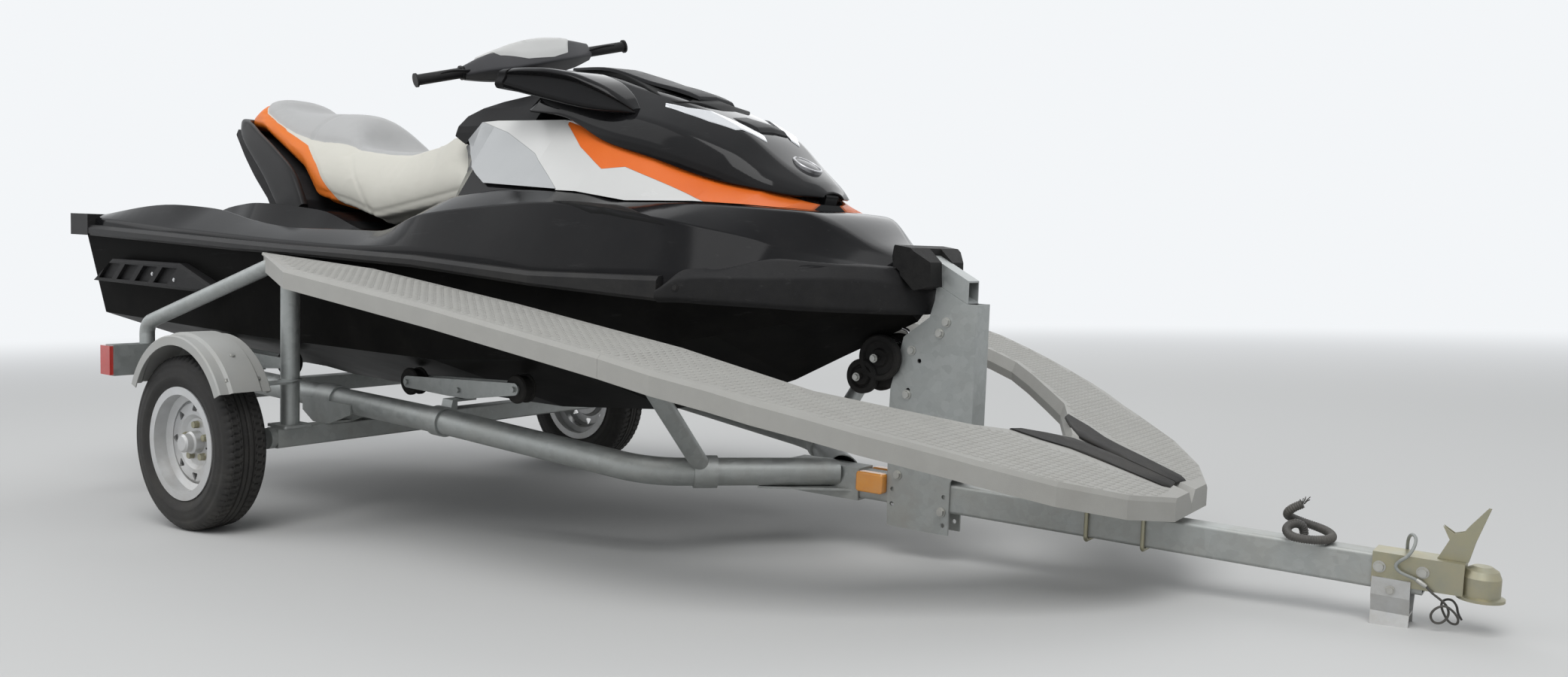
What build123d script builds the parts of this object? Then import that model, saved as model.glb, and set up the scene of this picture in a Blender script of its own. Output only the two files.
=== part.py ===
"""Personal watercraft on its road trailer, parked on two wheels and the drawbar foot.

Everything is drawn in the trailer's own level frame, in millimetres: X runs forward, Y to the left (port),
Z up, with the origin on the ground under the middle of the wheels' line. The last section leans the whole
assembly nose down about the wheels, as it stands when it is unhitched, and writes the pieces.
"""
import os
from math import cos, radians, sin, tan

from build123d import *

os.makedirs("parts", exist_ok=True)

# How it is parked
nose_down = 3.1

# Fits
seat_gap = 0.3
slip_gap = 0.4
moving_gap = 6.0

# Road wheels
tyre_radius = 265.0
tyre_width = 140.0
bead_radius = 152.0
rim_lip_radius = 172.0
rim_width = 124.0
rim_wall = 4.0
rim_well_radius = 128.0
wheel_middle_y = 827.0
disc_windows = 8
window_circle_radius = 104.0
window_size = 19.0
hub_radius = 34.0
spindle_radius = 12.7
spindle_reach = 46.0

# Torsion axle
axle_x = 175.0
axle_z = 283.0
beam_size = 60.0
beam_wall = 5.0
beam_half_length = 698.0
arm_width = 54.0
arm_thickness = 20.0

# Frame tubes
tube_radius = 38.0
tube_wall = 3.2
tube_side_y = 490.0
tube_rear_z = 411.0
tube_bend_x = 752.0
tube_bend_z = 372.0
tube_turn_x = 1430.0
tube_turn_y = 395.0
tube_front_z = 310.0
tube_front_x = 1790.0
tube_bend_radius = 260.0
clip_plate = 6.0

# Drawbar and the sleeve that holds it
bar_half_width = 30.0
bar_height = 76.0
bar_wall = 5.0
bar_bottom_z = 248.0
bar_rear_x = 1652.0
bar_length = 1610.0
bar_front_x = bar_rear_x + bar_length
outlet_x = 3014.0
outlet_y = 4.0
outlet_height = 6.0
loom_radius = 10.0
sleeve_wall = 6.0
sleeve_rear_x = 1640.0
sleeve_front_x = 1868.0

# Rear light beam
light_beam_front_x = -640.0
light_beam_depth = 52.0
light_beam_half = 763.0
light_beam_bottom_z = 401.0
light_beam_height = 104.0
light_beam_wall = 5.0
light_beam_wing = 440.0
light_beam_drop_z = 285.0
lamp_depth = 12.0

# Walkways
walk_depth = 54.0
walk_wall = 6.0
walk_inner_drop = 30.0
walk_inner_chamfer = 24.0
walk_outer_chamfer = 10.0

# Guide posts and rear guide tubes
post_radius = 28.0
post_y = 640.0
guide_radius = 24.0
guide_y = 637.0
guide_bend_z = 575.0
guide_wall = 3.0

# Mudguards
guard_centre_x = 25.0
guard_centre_z = 330.0
guard_radius = 262.0
guard_sheet = 3.0
guard_inner_y = wheel_middle_y - tyre_width / 2
guard_outer_y = wheel_middle_y + tyre_width / 2 + 23
guard_front_angle = 25.0
guard_rear_angle = 158.0

# Keel bogies
bogie_roller_radius = 42.0
bogie_roller_width = 47.0
bogie_y = 401.0
bogie_plate = 6.0
bogie_pin_radius = 8.0

# Bow post
post_plate = 6.0
post_arm_half = 30.0
bow_disc_y = 38.0

# Craft
hull_stern_x = -1215.0
deck_stern_x = -1290.0
rail_out = 24.0
panel_thickness = 12.0
lid_wall = 10.0
hinge_x = 1716.0
hinge_z = 1066.0
hinge_pin_radius = 5.0
hinge_lug = (30.0, 50.0)
pump_z = 512.0
pump_radius = 92.0
pump_bore_radius = 78.0
nozzle_x = -1075.0
nozzle_radius = 52.0
shaft_radius = 14.0
seat_half_width = 238.0

# Steering
steer_lock = 25.0
steer_now = 23.8
steer_rake = 39.7
steer_x = 493.0
steer_z = 1493.0
bar_half_span = 371.0
bar_radius = 11.0
grip_length = 150.0
grip_radius = 17.0
column_radius = 26.0
nozzle_ratio = 0.8


def both_sides():
    """Copy what the open part holds to the other side of the middle plane."""
    mirror(about=Plane.XZ)


def whole(half):
    """Outline right across the craft from the points of its left half, listed from the lowest up."""
    return half + [(-y, z) for y, z in reversed(half) if y > 0]


def along(table, x):
    """Row of the table at x, by straight lines between the rows above and below it."""
    for low, high in zip(table, table[1:]):
        if x <= high[0] or high is table[-1]:
            share = (x - low[0]) / (high[0] - low[0])
            return [a + share * (b - a) for a, b in zip(low[1:], high[1:])]


def ground_height(x):
    """Height of the ground in the level frame, because the trailer is drawn level but parks nose down."""
    lean = radians(nose_down)
    return tyre_radius + (x * sin(lean) - tyre_radius) / cos(lean)


pieces = []


def keep(part, label):
    """Name a finished piece and put it on the list that the last section writes."""
    part.label = label
    pieces.append(part)


# Road wheels: tyre, and pressed rim with eight windows bolted to the hub with its dust cap
for side_name, side in (("left", 1), ("right", -1)):
    wheel_centre = (0, side * wheel_middle_y, tyre_radius)
    wheel_axis = Axis(wheel_centre, (0, 1, 0))
    across = Plane(origin=wheel_centre, x_dir=(1, 0, 0), z_dir=(0, 0, side))
    facing = Plane(origin=wheel_centre, x_dir=(1, 0, 0), z_dir=(0, side, 0))
    half_tyre = tyre_width / 2
    half_rim = rim_width / 2
    tyre_seat = half_rim - rim_wall - seat_gap

    with BuildPart() as tyre:
        with BuildSketch(across):
            with BuildLine():
                foot = Line((bead_radius + seat_gap, -tyre_seat), (bead_radius + seat_gap, tyre_seat))
                bead_out = Line(foot @ 1, (rim_lip_radius + 2, tyre_seat))
                wall_out = ThreePointArc(
                    bead_out @ 1, (tyre_radius - 50, half_tyre), (tyre_radius - 12, half_tyre - 12)
                )
                shoulder_out = Line(wall_out @ 1, (tyre_radius, half_tyre - 22))
                tread = Line(shoulder_out @ 1, (tyre_radius, -half_tyre + 22))
                shoulder_in = Line(tread @ 1, (tyre_radius - 12, -half_tyre + 12))
                wall_in = ThreePointArc(
                    shoulder_in @ 1, (tyre_radius - 50, -half_tyre), (rim_lip_radius + 2, -tyre_seat)
                )
                Line(wall_in @ 1, foot @ 0)
            make_face()
        revolve(axis=wheel_axis)
    keep(tyre.part, f"tyre_{side_name}")

    with BuildPart() as wheel:
        with BuildSketch(across):
            Polygon(
                (bead_radius, -half_rim + rim_wall), (rim_lip_radius, -half_rim + rim_wall),
                (rim_lip_radius, -half_rim), (bead_radius - rim_wall, -half_rim),
                (bead_radius - rim_wall, -34), (rim_well_radius, -26), (rim_well_radius, 14),
                (bead_radius - rim_wall, 24), (bead_radius - rim_wall, half_rim),
                (rim_lip_radius, half_rim), (rim_lip_radius, half_rim - rim_wall),
                (bead_radius, half_rim - rim_wall), (bead_radius, 26), (rim_well_radius + rim_wall, 16),
                (rim_well_radius + rim_wall, -28), (bead_radius, -36), align=None,
            )
            Polygon(
                (hub_radius + seat_gap, 6), (72, 6), (84, 16), (118, 16), (rim_well_radius + 1, 6),
                (rim_well_radius + 1, 1), (116, 11), (86, 11), (74, 1), (hub_radius + seat_gap, 1),
                align=None,
            )
        revolve(axis=wheel_axis)
        with BuildSketch(facing.offset(-20)):
            with PolarLocations(window_circle_radius, disc_windows):
                RegularPolygon(window_size, 3)
            fillet(vertices(), 4)
        extrude(amount=60, mode=Mode.SUBTRACT)
        with BuildSketch(across):
            Polygon(
                (spindle_radius + slip_gap, -88), (hub_radius, -88), (hub_radius, -10), (74, -10),
                (74, 1 - seat_gap), (hub_radius, 1 - seat_gap), (hub_radius, 30), (28, 34), (28, 52),
                (22, 58), (0, 58), (0, 54), (spindle_radius + slip_gap, 50), align=None,
            )
        revolve(axis=wheel_axis)
    keep(wheel.part, f"wheel_{side_name}")

# Torsion axle: one square beam right across, a trailing arm and spindle at each end
with BuildPart() as axle_beam:
    with BuildSketch(Plane.XZ.offset(-beam_half_length)):
        with Locations((axle_x, axle_z)):
            RectangleRounded(beam_size, beam_size, 6)
            Rectangle(beam_size - 2 * beam_wall, beam_size - 2 * beam_wall, mode=Mode.SUBTRACT)
    extrude(amount=2 * beam_half_length)
keep(axle_beam.part, "axle_beam")

arm_inner = beam_half_length + seat_gap
arm_half = arm_width / 2
spindle_end = wheel_middle_y + spindle_reach
with BuildPart() as torsion_arms:
    with BuildSketch(Plane.XZ.offset(-arm_inner - arm_thickness)):
        with Locations((axle_x, axle_z)):
            Circle(beam_size / 2 + 2)
        with Locations((0, tyre_radius)):
            Circle(arm_half)
        Polygon(
            (axle_x, axle_z + arm_half), (0, tyre_radius + arm_half),
            (0, tyre_radius - arm_half), (axle_x, axle_z - arm_half), align=None,
        )
    extrude(amount=arm_thickness)
    with BuildSketch(Plane.XZ.offset(-spindle_end)):
        with Locations((0, tyre_radius)):
            Circle(spindle_radius)
    extrude(amount=spindle_end - arm_inner - arm_thickness / 2)
    both_sides()
keep(torsion_arms.part, "torsion_arms")

# Frame: two bent round tubes that run forward from the light beam and close in on the drawbar
tube_line = [
    (light_beam_front_x + seat_gap, tube_rear_z),
    (tube_bend_x, tube_bend_z),
]
beam_top_z = axle_z + beam_size / 2
bar_top_z = bar_bottom_z + bar_height
bar_middle_z = bar_bottom_z + bar_height / 2
sleeve_outside = bar_half_width + seat_gap + sleeve_wall
with BuildPart() as main_tubes:
    with BuildLine() as tube_route:
        FilletPolyline(
            (tube_line[0][0], tube_side_y, tube_line[0][1]),
            (tube_bend_x, tube_side_y, tube_bend_z),
            (tube_turn_x, tube_turn_y, tube_front_z),
            (tube_front_x, 20, tube_front_z),
            radius=tube_bend_radius,
        )
    with BuildSketch(Plane(tube_route.line @ 0, z_dir=tube_route.line % 0)):
        Circle(tube_radius)
        Circle(tube_radius - tube_wall, mode=Mode.SUBTRACT)
    sweep()
    with BuildSketch(Plane.XY):
        with Locations((tube_front_x, 0)):
            Rectangle(400, 2 * (sleeve_outside + seat_gap))
        with Locations((light_beam_front_x - 50, tube_side_y)):
            Rectangle(100 + 2 * seat_gap, 200)
    extrude(amount=600, mode=Mode.SUBTRACT)
    both_sides()
keep(main_tubes.part, "main_tubes")


def tube_middle(x):
    """Height of the frame tube's middle on its straight rear run."""
    return along([tube_line[0], tube_line[1]], x)[0]


tube_run = Vector(tube_bend_x - tube_line[0][0], 0, tube_bend_z - tube_rear_z).normalized()

# Saddles that seat the frame tubes on the axle beam, with a strap over each tube
saddle_front_x = axle_x + 150
saddle_rear_x = axle_x - 95
with BuildPart() as saddle_brackets:
    for inner_y in (tube_side_y - tube_radius - seat_gap - clip_plate, tube_side_y + tube_radius + seat_gap):
        with BuildSketch(Plane.XZ.offset(-inner_y - clip_plate)):
            Polygon(
                (axle_x - 40, beam_top_z + seat_gap), (axle_x + 40, beam_top_z + seat_gap),
                (saddle_front_x, tube_middle(saddle_front_x) - 30),
                (saddle_front_x, tube_middle(saddle_front_x)),
                (saddle_rear_x, tube_middle(saddle_rear_x)),
                (saddle_rear_x, tube_middle(saddle_rear_x) - 45), align=None,
            )
        extrude(amount=clip_plate)
    with BuildSketch(Plane.XY.offset(beam_top_z + seat_gap)):
        with Locations((axle_x, tube_side_y)):
            Rectangle(80, 2 * (tube_radius + seat_gap + clip_plate))
    extrude(amount=clip_plate)
    with BuildSketch(Plane((axle_x, tube_side_y, tube_middle(axle_x)), x_dir=(0, 1, 0), z_dir=tube_run)):
        Circle(tube_radius + seat_gap + clip_plate)
        Circle(tube_radius + seat_gap, mode=Mode.SUBTRACT)
    extrude(amount=42, both=True)
    both_sides()
keep(saddle_brackets.part, "saddle_brackets")

# Drawbar of rectangular tube, and the welded sleeve and gusset that join it to the frame tubes
with BuildPart() as drawbar:
    with BuildSketch(Plane.YZ.offset(bar_rear_x)):
        with Locations((0, bar_middle_z)):
            RectangleRounded(2 * bar_half_width, bar_height, 8)
            Rectangle(2 * (bar_half_width - bar_wall), bar_height - 2 * bar_wall, mode=Mode.SUBTRACT)
    extrude(amount=bar_front_x - bar_rear_x)
    with BuildSketch(Plane.XY.offset(bar_top_z - 1)):
        with Locations((outlet_x, outlet_y)):
            Circle(loom_radius + 3)
    extrude(amount=outlet_height + 1)
    with BuildSketch(Plane.XY.offset(bar_top_z - bar_wall - 1)):
        with Locations((outlet_x, outlet_y)):
            Circle(loom_radius - 1)
    extrude(amount=outlet_height + bar_wall + 2, mode=Mode.SUBTRACT)
keep(drawbar.part, "drawbar")

gusset_top_z = tube_front_z - tube_radius - seat_gap
with BuildPart() as drawbar_sleeve:
    with BuildSketch(Plane.YZ.offset(sleeve_rear_x)):
        with Locations((0, bar_middle_z)):
            Rectangle(2 * sleeve_outside, bar_height + 2 * (seat_gap + sleeve_wall))
            Rectangle(2 * (bar_half_width + seat_gap), bar_height + 2 * seat_gap, mode=Mode.SUBTRACT)
    extrude(amount=sleeve_front_x - sleeve_rear_x)
    for side in (1, -1):
        with BuildSketch(Plane.XY.offset(gusset_top_z - sleeve_wall)):
            Polygon(
                (sleeve_rear_x, side * (sleeve_outside - 1)), (sleeve_rear_x, side * 190),
                (sleeve_rear_x + 60, side * 150), (sleeve_front_x - 20, side * (sleeve_outside - 1)),
                align=None,
            )
        extrude(amount=sleeve_wall)
keep(drawbar_sleeve.part, "drawbar_sleeve")

# Light beam across the rear, with a red lamp over each end
light_beam_rear_x = light_beam_front_x - light_beam_depth
light_beam_top_z = light_beam_bottom_z + light_beam_height
light_beam_middle = (light_beam_front_x - light_beam_depth / 2, light_beam_bottom_z + light_beam_height / 2)
with BuildPart() as light_beam:
    with BuildSketch(Plane.YZ.offset(light_beam_rear_x)):
        Polygon(
            *whole([
                (0, light_beam_drop_z), (light_beam_wing + 60, light_beam_drop_z),
                (light_beam_wing + 60, light_beam_bottom_z), (light_beam_half, light_beam_bottom_z),
                (light_beam_half, light_beam_top_z), (light_beam_wing, light_beam_top_z),
                (light_beam_wing, light_beam_drop_z + 60), (0, light_beam_drop_z + 60),
            ]), align=None,
        )
    extrude(amount=light_beam_depth)
    for side in (1, -1):
        with BuildSketch(Plane.XZ.offset(side * (light_beam_wing + 70))):
            with Locations(light_beam_middle):
                Rectangle(
                    light_beam_depth - 2 * light_beam_wall, light_beam_height - 2 * light_beam_wall,
                )
        extrude(amount=side * (light_beam_half - light_beam_wing), mode=Mode.SUBTRACT)
keep(light_beam.part, "light_beam")

with BuildPart() as tail_lamps:
    with BuildSketch(Plane.XY.offset(light_beam_bottom_z + 3)):
        Polygon(
            (light_beam_front_x - 3, light_beam_half + seat_gap),
            (light_beam_front_x - 3, light_beam_half + lamp_depth),
            (light_beam_rear_x - lamp_depth, light_beam_half + lamp_depth),
            (light_beam_rear_x - lamp_depth, light_beam_half - 130),
            (light_beam_rear_x - seat_gap, light_beam_half - 130),
            (light_beam_rear_x - seat_gap, light_beam_half + seat_gap), align=None,
        )
    extrude(amount=light_beam_height - 6)
    both_sides()
keep(tail_lamps.part, "tail_lamps")

# Walkways: moulded boards, open below; the columns are x, inner edge, outer edge, height of the top
rear_board = [
    (-20, 602, 613, 842),
    (557, 602, 910, 816),
    (1158, 602, 910, 751),
    (1722, 600, 908, 680),
]
board_joint = 0.6
front_board = [
    (1722 + board_joint, 600, 908, 680),
    (1848, 580, 880, 653),
    (1963, 552, 825, 626),
    (2050, 520, 785, 603),
    (2143, 435, 730, 579),
    (2251, 325, 665, 549),
    (2322, 250, 612, 529),
    (2396, 107, 550, 506),
    (2450, seat_gap, 512, 490),
    (2590, seat_gap, 400, 448),
    (2700, seat_gap, 262, 414),
    (2762, seat_gap, 120, 395),
]


def board_outline(inner, outer, top, wall):
    """Section of a walkway board, or of its hollow when wall is the thickness of the moulding."""
    bevel = min(walk_inner_chamfer, (outer - inner) / 3)
    edge = min(walk_outer_chamfer, (outer - inner) / 4)
    foot = top - walk_depth - wall
    return [
        (inner + wall, foot), (inner + wall, top - walk_inner_drop - 0.4 * wall),
        (inner + bevel + 0.4 * wall, top - wall), (outer - edge - 0.4 * wall, top - wall),
        (outer - wall, top - edge - 0.4 * wall), (outer - wall, foot),
    ]


def board_top(x):
    """Height of the walkway's top at x."""
    return along(rear_board + front_board[1:], x)[2]


with BuildPart() as walkway_rear:
    for x, inner, outer, top in rear_board:
        with BuildSketch(Plane.YZ.offset(x)):
            Polygon(*board_outline(inner, outer, top, 0), align=None)
    loft(ruled=True)
    for x in (40, 557, 1158, rear_board[-1][0] - walk_wall):
        inner, outer, top = along(rear_board, x)
        with BuildSketch(Plane.YZ.offset(x)):
            Polygon(*board_outline(inner, outer, top, walk_wall), align=None)
    loft(ruled=True, mode=Mode.SUBTRACT)
    with BuildSketch(Plane.XZ.offset(-guide_y - guide_radius - moving_gap)):
        Polygon(
            (-30, 700), (160, 700), (160, board_top(160) - walk_wall - 2),
            (-30, board_top(-20) - walk_wall - 2), align=None,
        )
    extrude(amount=2 * (guide_radius + moving_gap), mode=Mode.SUBTRACT)
    both_sides()
keep(walkway_rear.part, "walkway_rear")

front_boards = []
for side_name, side in (("left", 1), ("right", -1)):
    with BuildPart() as walkway_front:
        for x, inner, outer, top in front_board:
            with BuildSketch(Plane.YZ.offset(x)):
                Polygon(*[(side * y, z) for y, z in board_outline(inner, outer, top, 0)], align=None)
        loft(ruled=True)
        hollow_rows = [(x, *along(front_board, x)) for x in
                       [front_board[0][0] + walk_wall, *[row[0] for row in front_board[1:-1]],
                        front_board[-1][0] - walk_wall]]
        for x, inner, outer, top in hollow_rows:
            with BuildSketch(Plane.YZ.offset(x)):
                Polygon(*[(side * y, z) for y, z in board_outline(inner, outer, top, walk_wall)], align=None)
        loft(ruled=True, mode=Mode.SUBTRACT)
    front_boards.append(walkway_front.part)
    keep(walkway_front.part, f"walkway_front_{side_name}")


def board_underside(x):
    """Height at which a post or tube meets the underside of the walkway's top."""
    return board_top(x) - walk_wall - seat_gap


# Upright guide posts from the axle beam to the walkways, on clamped foot plates
with BuildPart() as guide_posts:
    with BuildSketch(Plane.XY.offset(beam_top_z + seat_gap)):
        with Locations((axle_x, post_y)):
            RectangleRounded(96, 96, 8)
    extrude(amount=8)
    with BuildSketch(Plane.XY.offset(beam_top_z + seat_gap + 7)):
        with Locations((axle_x, post_y)):
            Circle(post_radius)
            Circle(post_radius - guide_wall, mode=Mode.SUBTRACT)
    extrude(amount=560)
    with BuildSketch(Plane.XZ.offset(-post_y - 100)):
        Polygon(
            (axle_x - 100, board_underside(axle_x - 100)), (axle_x + 100, board_underside(axle_x + 100)),
            (axle_x + 100, 1000), (axle_x - 100, 1000), align=None,
        )
    extrude(amount=200, mode=Mode.SUBTRACT)
    both_sides()
    add(walkway_rear.part, mode=Mode.SUBTRACT)
keep(guide_posts.part, "guide_posts")

# Sloping rear guides, from the light beam up to the rear of each walkway
guide_foot_x = light_beam_middle[0]
with BuildPart() as rear_guides:
    with BuildLine() as guide_route:
        FilletPolyline(
            (guide_foot_x, guide_y, light_beam_top_z + seat_gap), (guide_foot_x, guide_y, guide_bend_z),
            (138, guide_y, 825), radius=50,
        )
    with BuildSketch(Plane(guide_route.line @ 0, z_dir=guide_route.line % 0)):
        Circle(guide_radius)
        Circle(guide_radius - guide_wall, mode=Mode.SUBTRACT)
    sweep()
    with BuildSketch(Plane.XZ.offset(-guide_y - 100)):
        Polygon(
            (-100, board_underside(-20)), (-20, board_underside(-20)), (300, board_underside(300)),
            (300, 1000), (-100, 1000), align=None,
        )
    extrude(amount=200, mode=Mode.SUBTRACT)
    both_sides()
    add(walkway_rear.part, mode=Mode.SUBTRACT)
keep(rear_guides.part, "rear_guides")

# Struts from clamps on the frame tubes up to the walkways
leg_run = Vector(tube_front_x - tube_turn_x, 20 - tube_turn_y, 0).normalized()
strut_foot = Vector(tube_turn_x, tube_turn_y, tube_front_z) + leg_run * 150
strut_run = Vector(42, 400, 398).normalized()
strut_radius = 25.0
with BuildPart() as walkway_struts:
    with BuildSketch(Plane(strut_foot, z_dir=strut_run)):
        Circle(strut_radius)
    extrude(amount=640)
    with BuildSketch(Plane(strut_foot, z_dir=leg_run)):
        Circle(tube_radius + seat_gap + clip_plate)
    extrude(amount=32, both=True)
    with BuildSketch(Plane(strut_foot, z_dir=leg_run)):
        Circle(tube_radius + seat_gap)
    extrude(amount=100, both=True, mode=Mode.SUBTRACT)
    with BuildSketch(Plane.XZ.offset(-1000)):
        Polygon(
            (1400, board_underside(1400)), (1700, board_underside(1700)), (1700, 1000), (1400, 1000),
            align=None,
        )
    extrude(amount=900, mode=Mode.SUBTRACT)
    both_sides()
    add(walkway_rear.part, mode=Mode.SUBTRACT)
keep(walkway_struts.part, "walkway_struts")

# Nose bracket under the front boards, and the two U-bolts that clamp it to the drawbar
bracket_rear_x = 2480.0
bracket_front_x = 2700.0
u_bolt_places = (2521.0, 2662.0)
u_bolt_radius = 5.0
u_bolt_y = bar_half_width + seat_gap + u_bolt_radius
with BuildPart() as walkway_clamps:
    with BuildSketch(Plane.XY.offset(bar_top_z + seat_gap)):
        with Locations(((bracket_rear_x + bracket_front_x) / 2, 0)):
            Rectangle(bracket_front_x - bracket_rear_x, 2 * (u_bolt_y + 14))
        with Locations(*[(x, side * u_bolt_y) for x in u_bolt_places for side in (1, -1)]):
            Circle(u_bolt_radius + seat_gap, mode=Mode.SUBTRACT)
    extrude(amount=clip_plate)
    for side_y in (29, -24):
        with BuildSketch(Plane.XZ.offset(-side_y)):
            Polygon(
                (bracket_rear_x, bar_top_z + clip_plate), (bracket_front_x, bar_top_z + clip_plate),
                (bracket_front_x, board_underside(bracket_front_x)), (2590, board_underside(2590)),
                (bracket_rear_x, board_underside(bracket_rear_x)), align=None,
            )
        extrude(amount=5)
    for board in front_boards:
        add(board, mode=Mode.SUBTRACT)
    for x in u_bolt_places:
        with BuildLine() as bolt_route:
            FilletPolyline(
                (x, u_bolt_y, bar_top_z + 26), (x, u_bolt_y, bar_bottom_z - seat_gap - u_bolt_radius),
                (x, -u_bolt_y, bar_bottom_z - seat_gap - u_bolt_radius), (x, -u_bolt_y, bar_top_z + 26),
                radius=9,
            )
        with BuildSketch(Plane(bolt_route.line @ 0, z_dir=bolt_route.line % 0)):
            Circle(u_bolt_radius)
        sweep()
keep(walkway_clamps.part, "walkway_clamps")

# Mudguards: rolled sheet with a raised middle band and turned-down edges
guard_start = radians(guard_front_angle)
guard_plane = Plane(
    (guard_centre_x, 0, guard_centre_z), x_dir=(cos(guard_start), 0, sin(guard_start)),
    z_dir=(-sin(guard_start), 0, cos(guard_start)),
)
guard_axis = Axis((guard_centre_x, 0, guard_centre_z), (0, -1, 0))
with BuildPart() as mudguards:
    with BuildSketch(guard_plane):
        outside = guard_radius + guard_sheet
        Polygon(
            (guard_radius - 22, guard_inner_y), (outside - 4, guard_inner_y), (outside, guard_inner_y + 4),
            (outside, guard_inner_y + 30), (outside + 8, guard_inner_y + 38),
            (outside + 8, guard_outer_y - 38), (outside, guard_outer_y - 30), (outside, guard_outer_y - 4),
            (outside - 4, guard_outer_y), (guard_radius - 26, guard_outer_y),
            (guard_radius - 26, guard_outer_y - guard_sheet), (guard_radius, guard_outer_y - guard_sheet),
            (guard_radius, guard_outer_y - 31), (guard_radius + 8, guard_outer_y - 39),
            (guard_radius + 8, guard_inner_y + 39), (guard_radius, guard_inner_y + 31),
            (guard_radius, guard_inner_y + guard_sheet), (guard_radius - 22, guard_inner_y + guard_sheet),
            align=None,
        )
    revolve(axis=guard_axis, revolution_arc=guard_rear_angle - guard_front_angle)
    both_sides()
keep(mudguards.part, "mudguards")

# Stays that hold each mudguard to its guide post
stay_z = 455.0
stay_reach_x = guard_centre_x + (guard_radius**2 - (stay_z + clip_plate - guard_centre_z) ** 2) ** 0.5
with BuildPart() as mudguard_stays:
    with BuildSketch(Plane.XY.offset(stay_z)):
        with Locations((axle_x, post_y)):
            Circle(post_radius + seat_gap + clip_plate)
        Polygon(
            (axle_x, post_y - 20), (stay_reach_x - 60, post_y + 55), (stay_reach_x - 60, guard_outer_y - 20),
            (stay_reach_x - 2 * seat_gap, guard_outer_y - 20), (stay_reach_x - 2 * seat_gap, post_y + 40),
            (axle_x + 26, post_y - 20), align=None,
        )
        with Locations((axle_x, post_y)):
            Circle(post_radius + seat_gap, mode=Mode.SUBTRACT)
    extrude(amount=clip_plate)
    both_sides()
    add(mudguards.part, mode=Mode.SUBTRACT)
keep(mudguard_stays.part, "mudguard_stays")

# Craft hull: sections from stern to bow; columns are x, keel height, chine half width and height,
# bond half width and height, where the bond is the joint of hull and deck behind the bumper rail
hull_rows = [
    (hull_stern_x, 393, 505, 574, 574, 886),
    (-200, 372, 525, 558, 583, 858),
    (700, 372, 525, 558, 585, 843),
    (1166, 412, 500, 596, 576, 820),
    (1470, 492, 430, 655, 540, 806),
    (1623, 548, 375, 690, 496, 800),
    (1782, 628, 290, 728, 406, 800),
    (1920, 695, 180, 762, 276, 800),
    (2010, 740, 70, 784, 133, 800),
]


def hull_bottom(x, y):
    """Height of the hull's flat V bottom above the point x, y."""
    keel, chine_y, chine_z, bond_y, bond_z = along(hull_rows, x)
    return keel + (chine_z - keel) * y / chine_y


def bond(x):
    """Half width and height of the joint of hull and deck at x."""
    return along([(x, row[3], row[4]) for x, *row in hull_rows], x)


# Keel bogies: two plates, two pins and two rollers each; the columns are the x of the rear and front pin
bogies = [(-585.0, -195.0), (463.0, 938.0)]
roller_inner_y = bogie_y - bogie_roller_width / 2
plate_inner_y = roller_inner_y - slip_gap - bogie_plate
plate_outer_y = bogie_y + bogie_roller_width / 2 + slip_gap


def roller_height(x):
    """Height of a roller's pin, so that the roller lies just under the hull."""
    return hull_bottom(x, roller_inner_y) - bogie_roller_radius - 2 * seat_gap


def pivot(rear_x, front_x):
    """Place of the bogie's pivot bolt, below the line of its pins."""
    return (rear_x + front_x) / 2, (roller_height(rear_x) + roller_height(front_x)) / 2 - 14


with BuildPart() as bogie_frames:
    for rear_x, front_x in bogies:
        pivot_x, pivot_z = pivot(rear_x, front_x)
        ends = [(rear_x, roller_height(rear_x)), (front_x, roller_height(front_x))]
        for plate_y in (plate_inner_y, plate_outer_y):
            with BuildSketch(Plane.XZ.offset(-plate_y - bogie_plate)):
                Polygon(
                    (ends[0][0], ends[0][1] + 18), (ends[1][0], ends[1][1] + 18),
                    (ends[1][0], ends[1][1] - 18), (pivot_x + 40, pivot_z - 22),
                    (pivot_x - 40, pivot_z - 22), (ends[0][0], ends[0][1] - 18), align=None,
                )
                with Locations(*ends):
                    Circle(18)
            extrude(amount=bogie_plate)
        with BuildSketch(Plane.XZ.offset(-plate_outer_y - bogie_plate - 8)):
            with Locations(*ends, (pivot_x, pivot_z)):
                Circle(bogie_pin_radius)
        extrude(amount=plate_outer_y - plate_inner_y + bogie_plate + 12)
    both_sides()
keep(bogie_frames.part, "bogie_frames")

with BuildPart() as bogie_rollers:
    for roller_x in [x for bogie in bogies for x in bogie]:
        roller_axis = Axis((roller_x, bogie_y, roller_height(roller_x)), (0, 1, 0))
        half = bogie_roller_width / 2
        bore = bogie_pin_radius + slip_gap
        with BuildSketch(Plane((roller_x, bogie_y, roller_height(roller_x)), x_dir=(1, 0, 0), z_dir=(0, 0, 1))):
            Polygon(
                (bore, -half), (bogie_roller_radius - 4, -half), (bogie_roller_radius, -half + 4),
                (bogie_roller_radius, -half + 10), (bogie_roller_radius - 5, -half + 12),
                (bogie_roller_radius - 5, half - 12), (bogie_roller_radius, half - 10),
                (bogie_roller_radius, half - 4), (bogie_roller_radius - 4, half), (bore, half), align=None,
            )
        revolve(axis=roller_axis)
    both_sides()
keep(bogie_rollers.part, "bogie_rollers")

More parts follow.
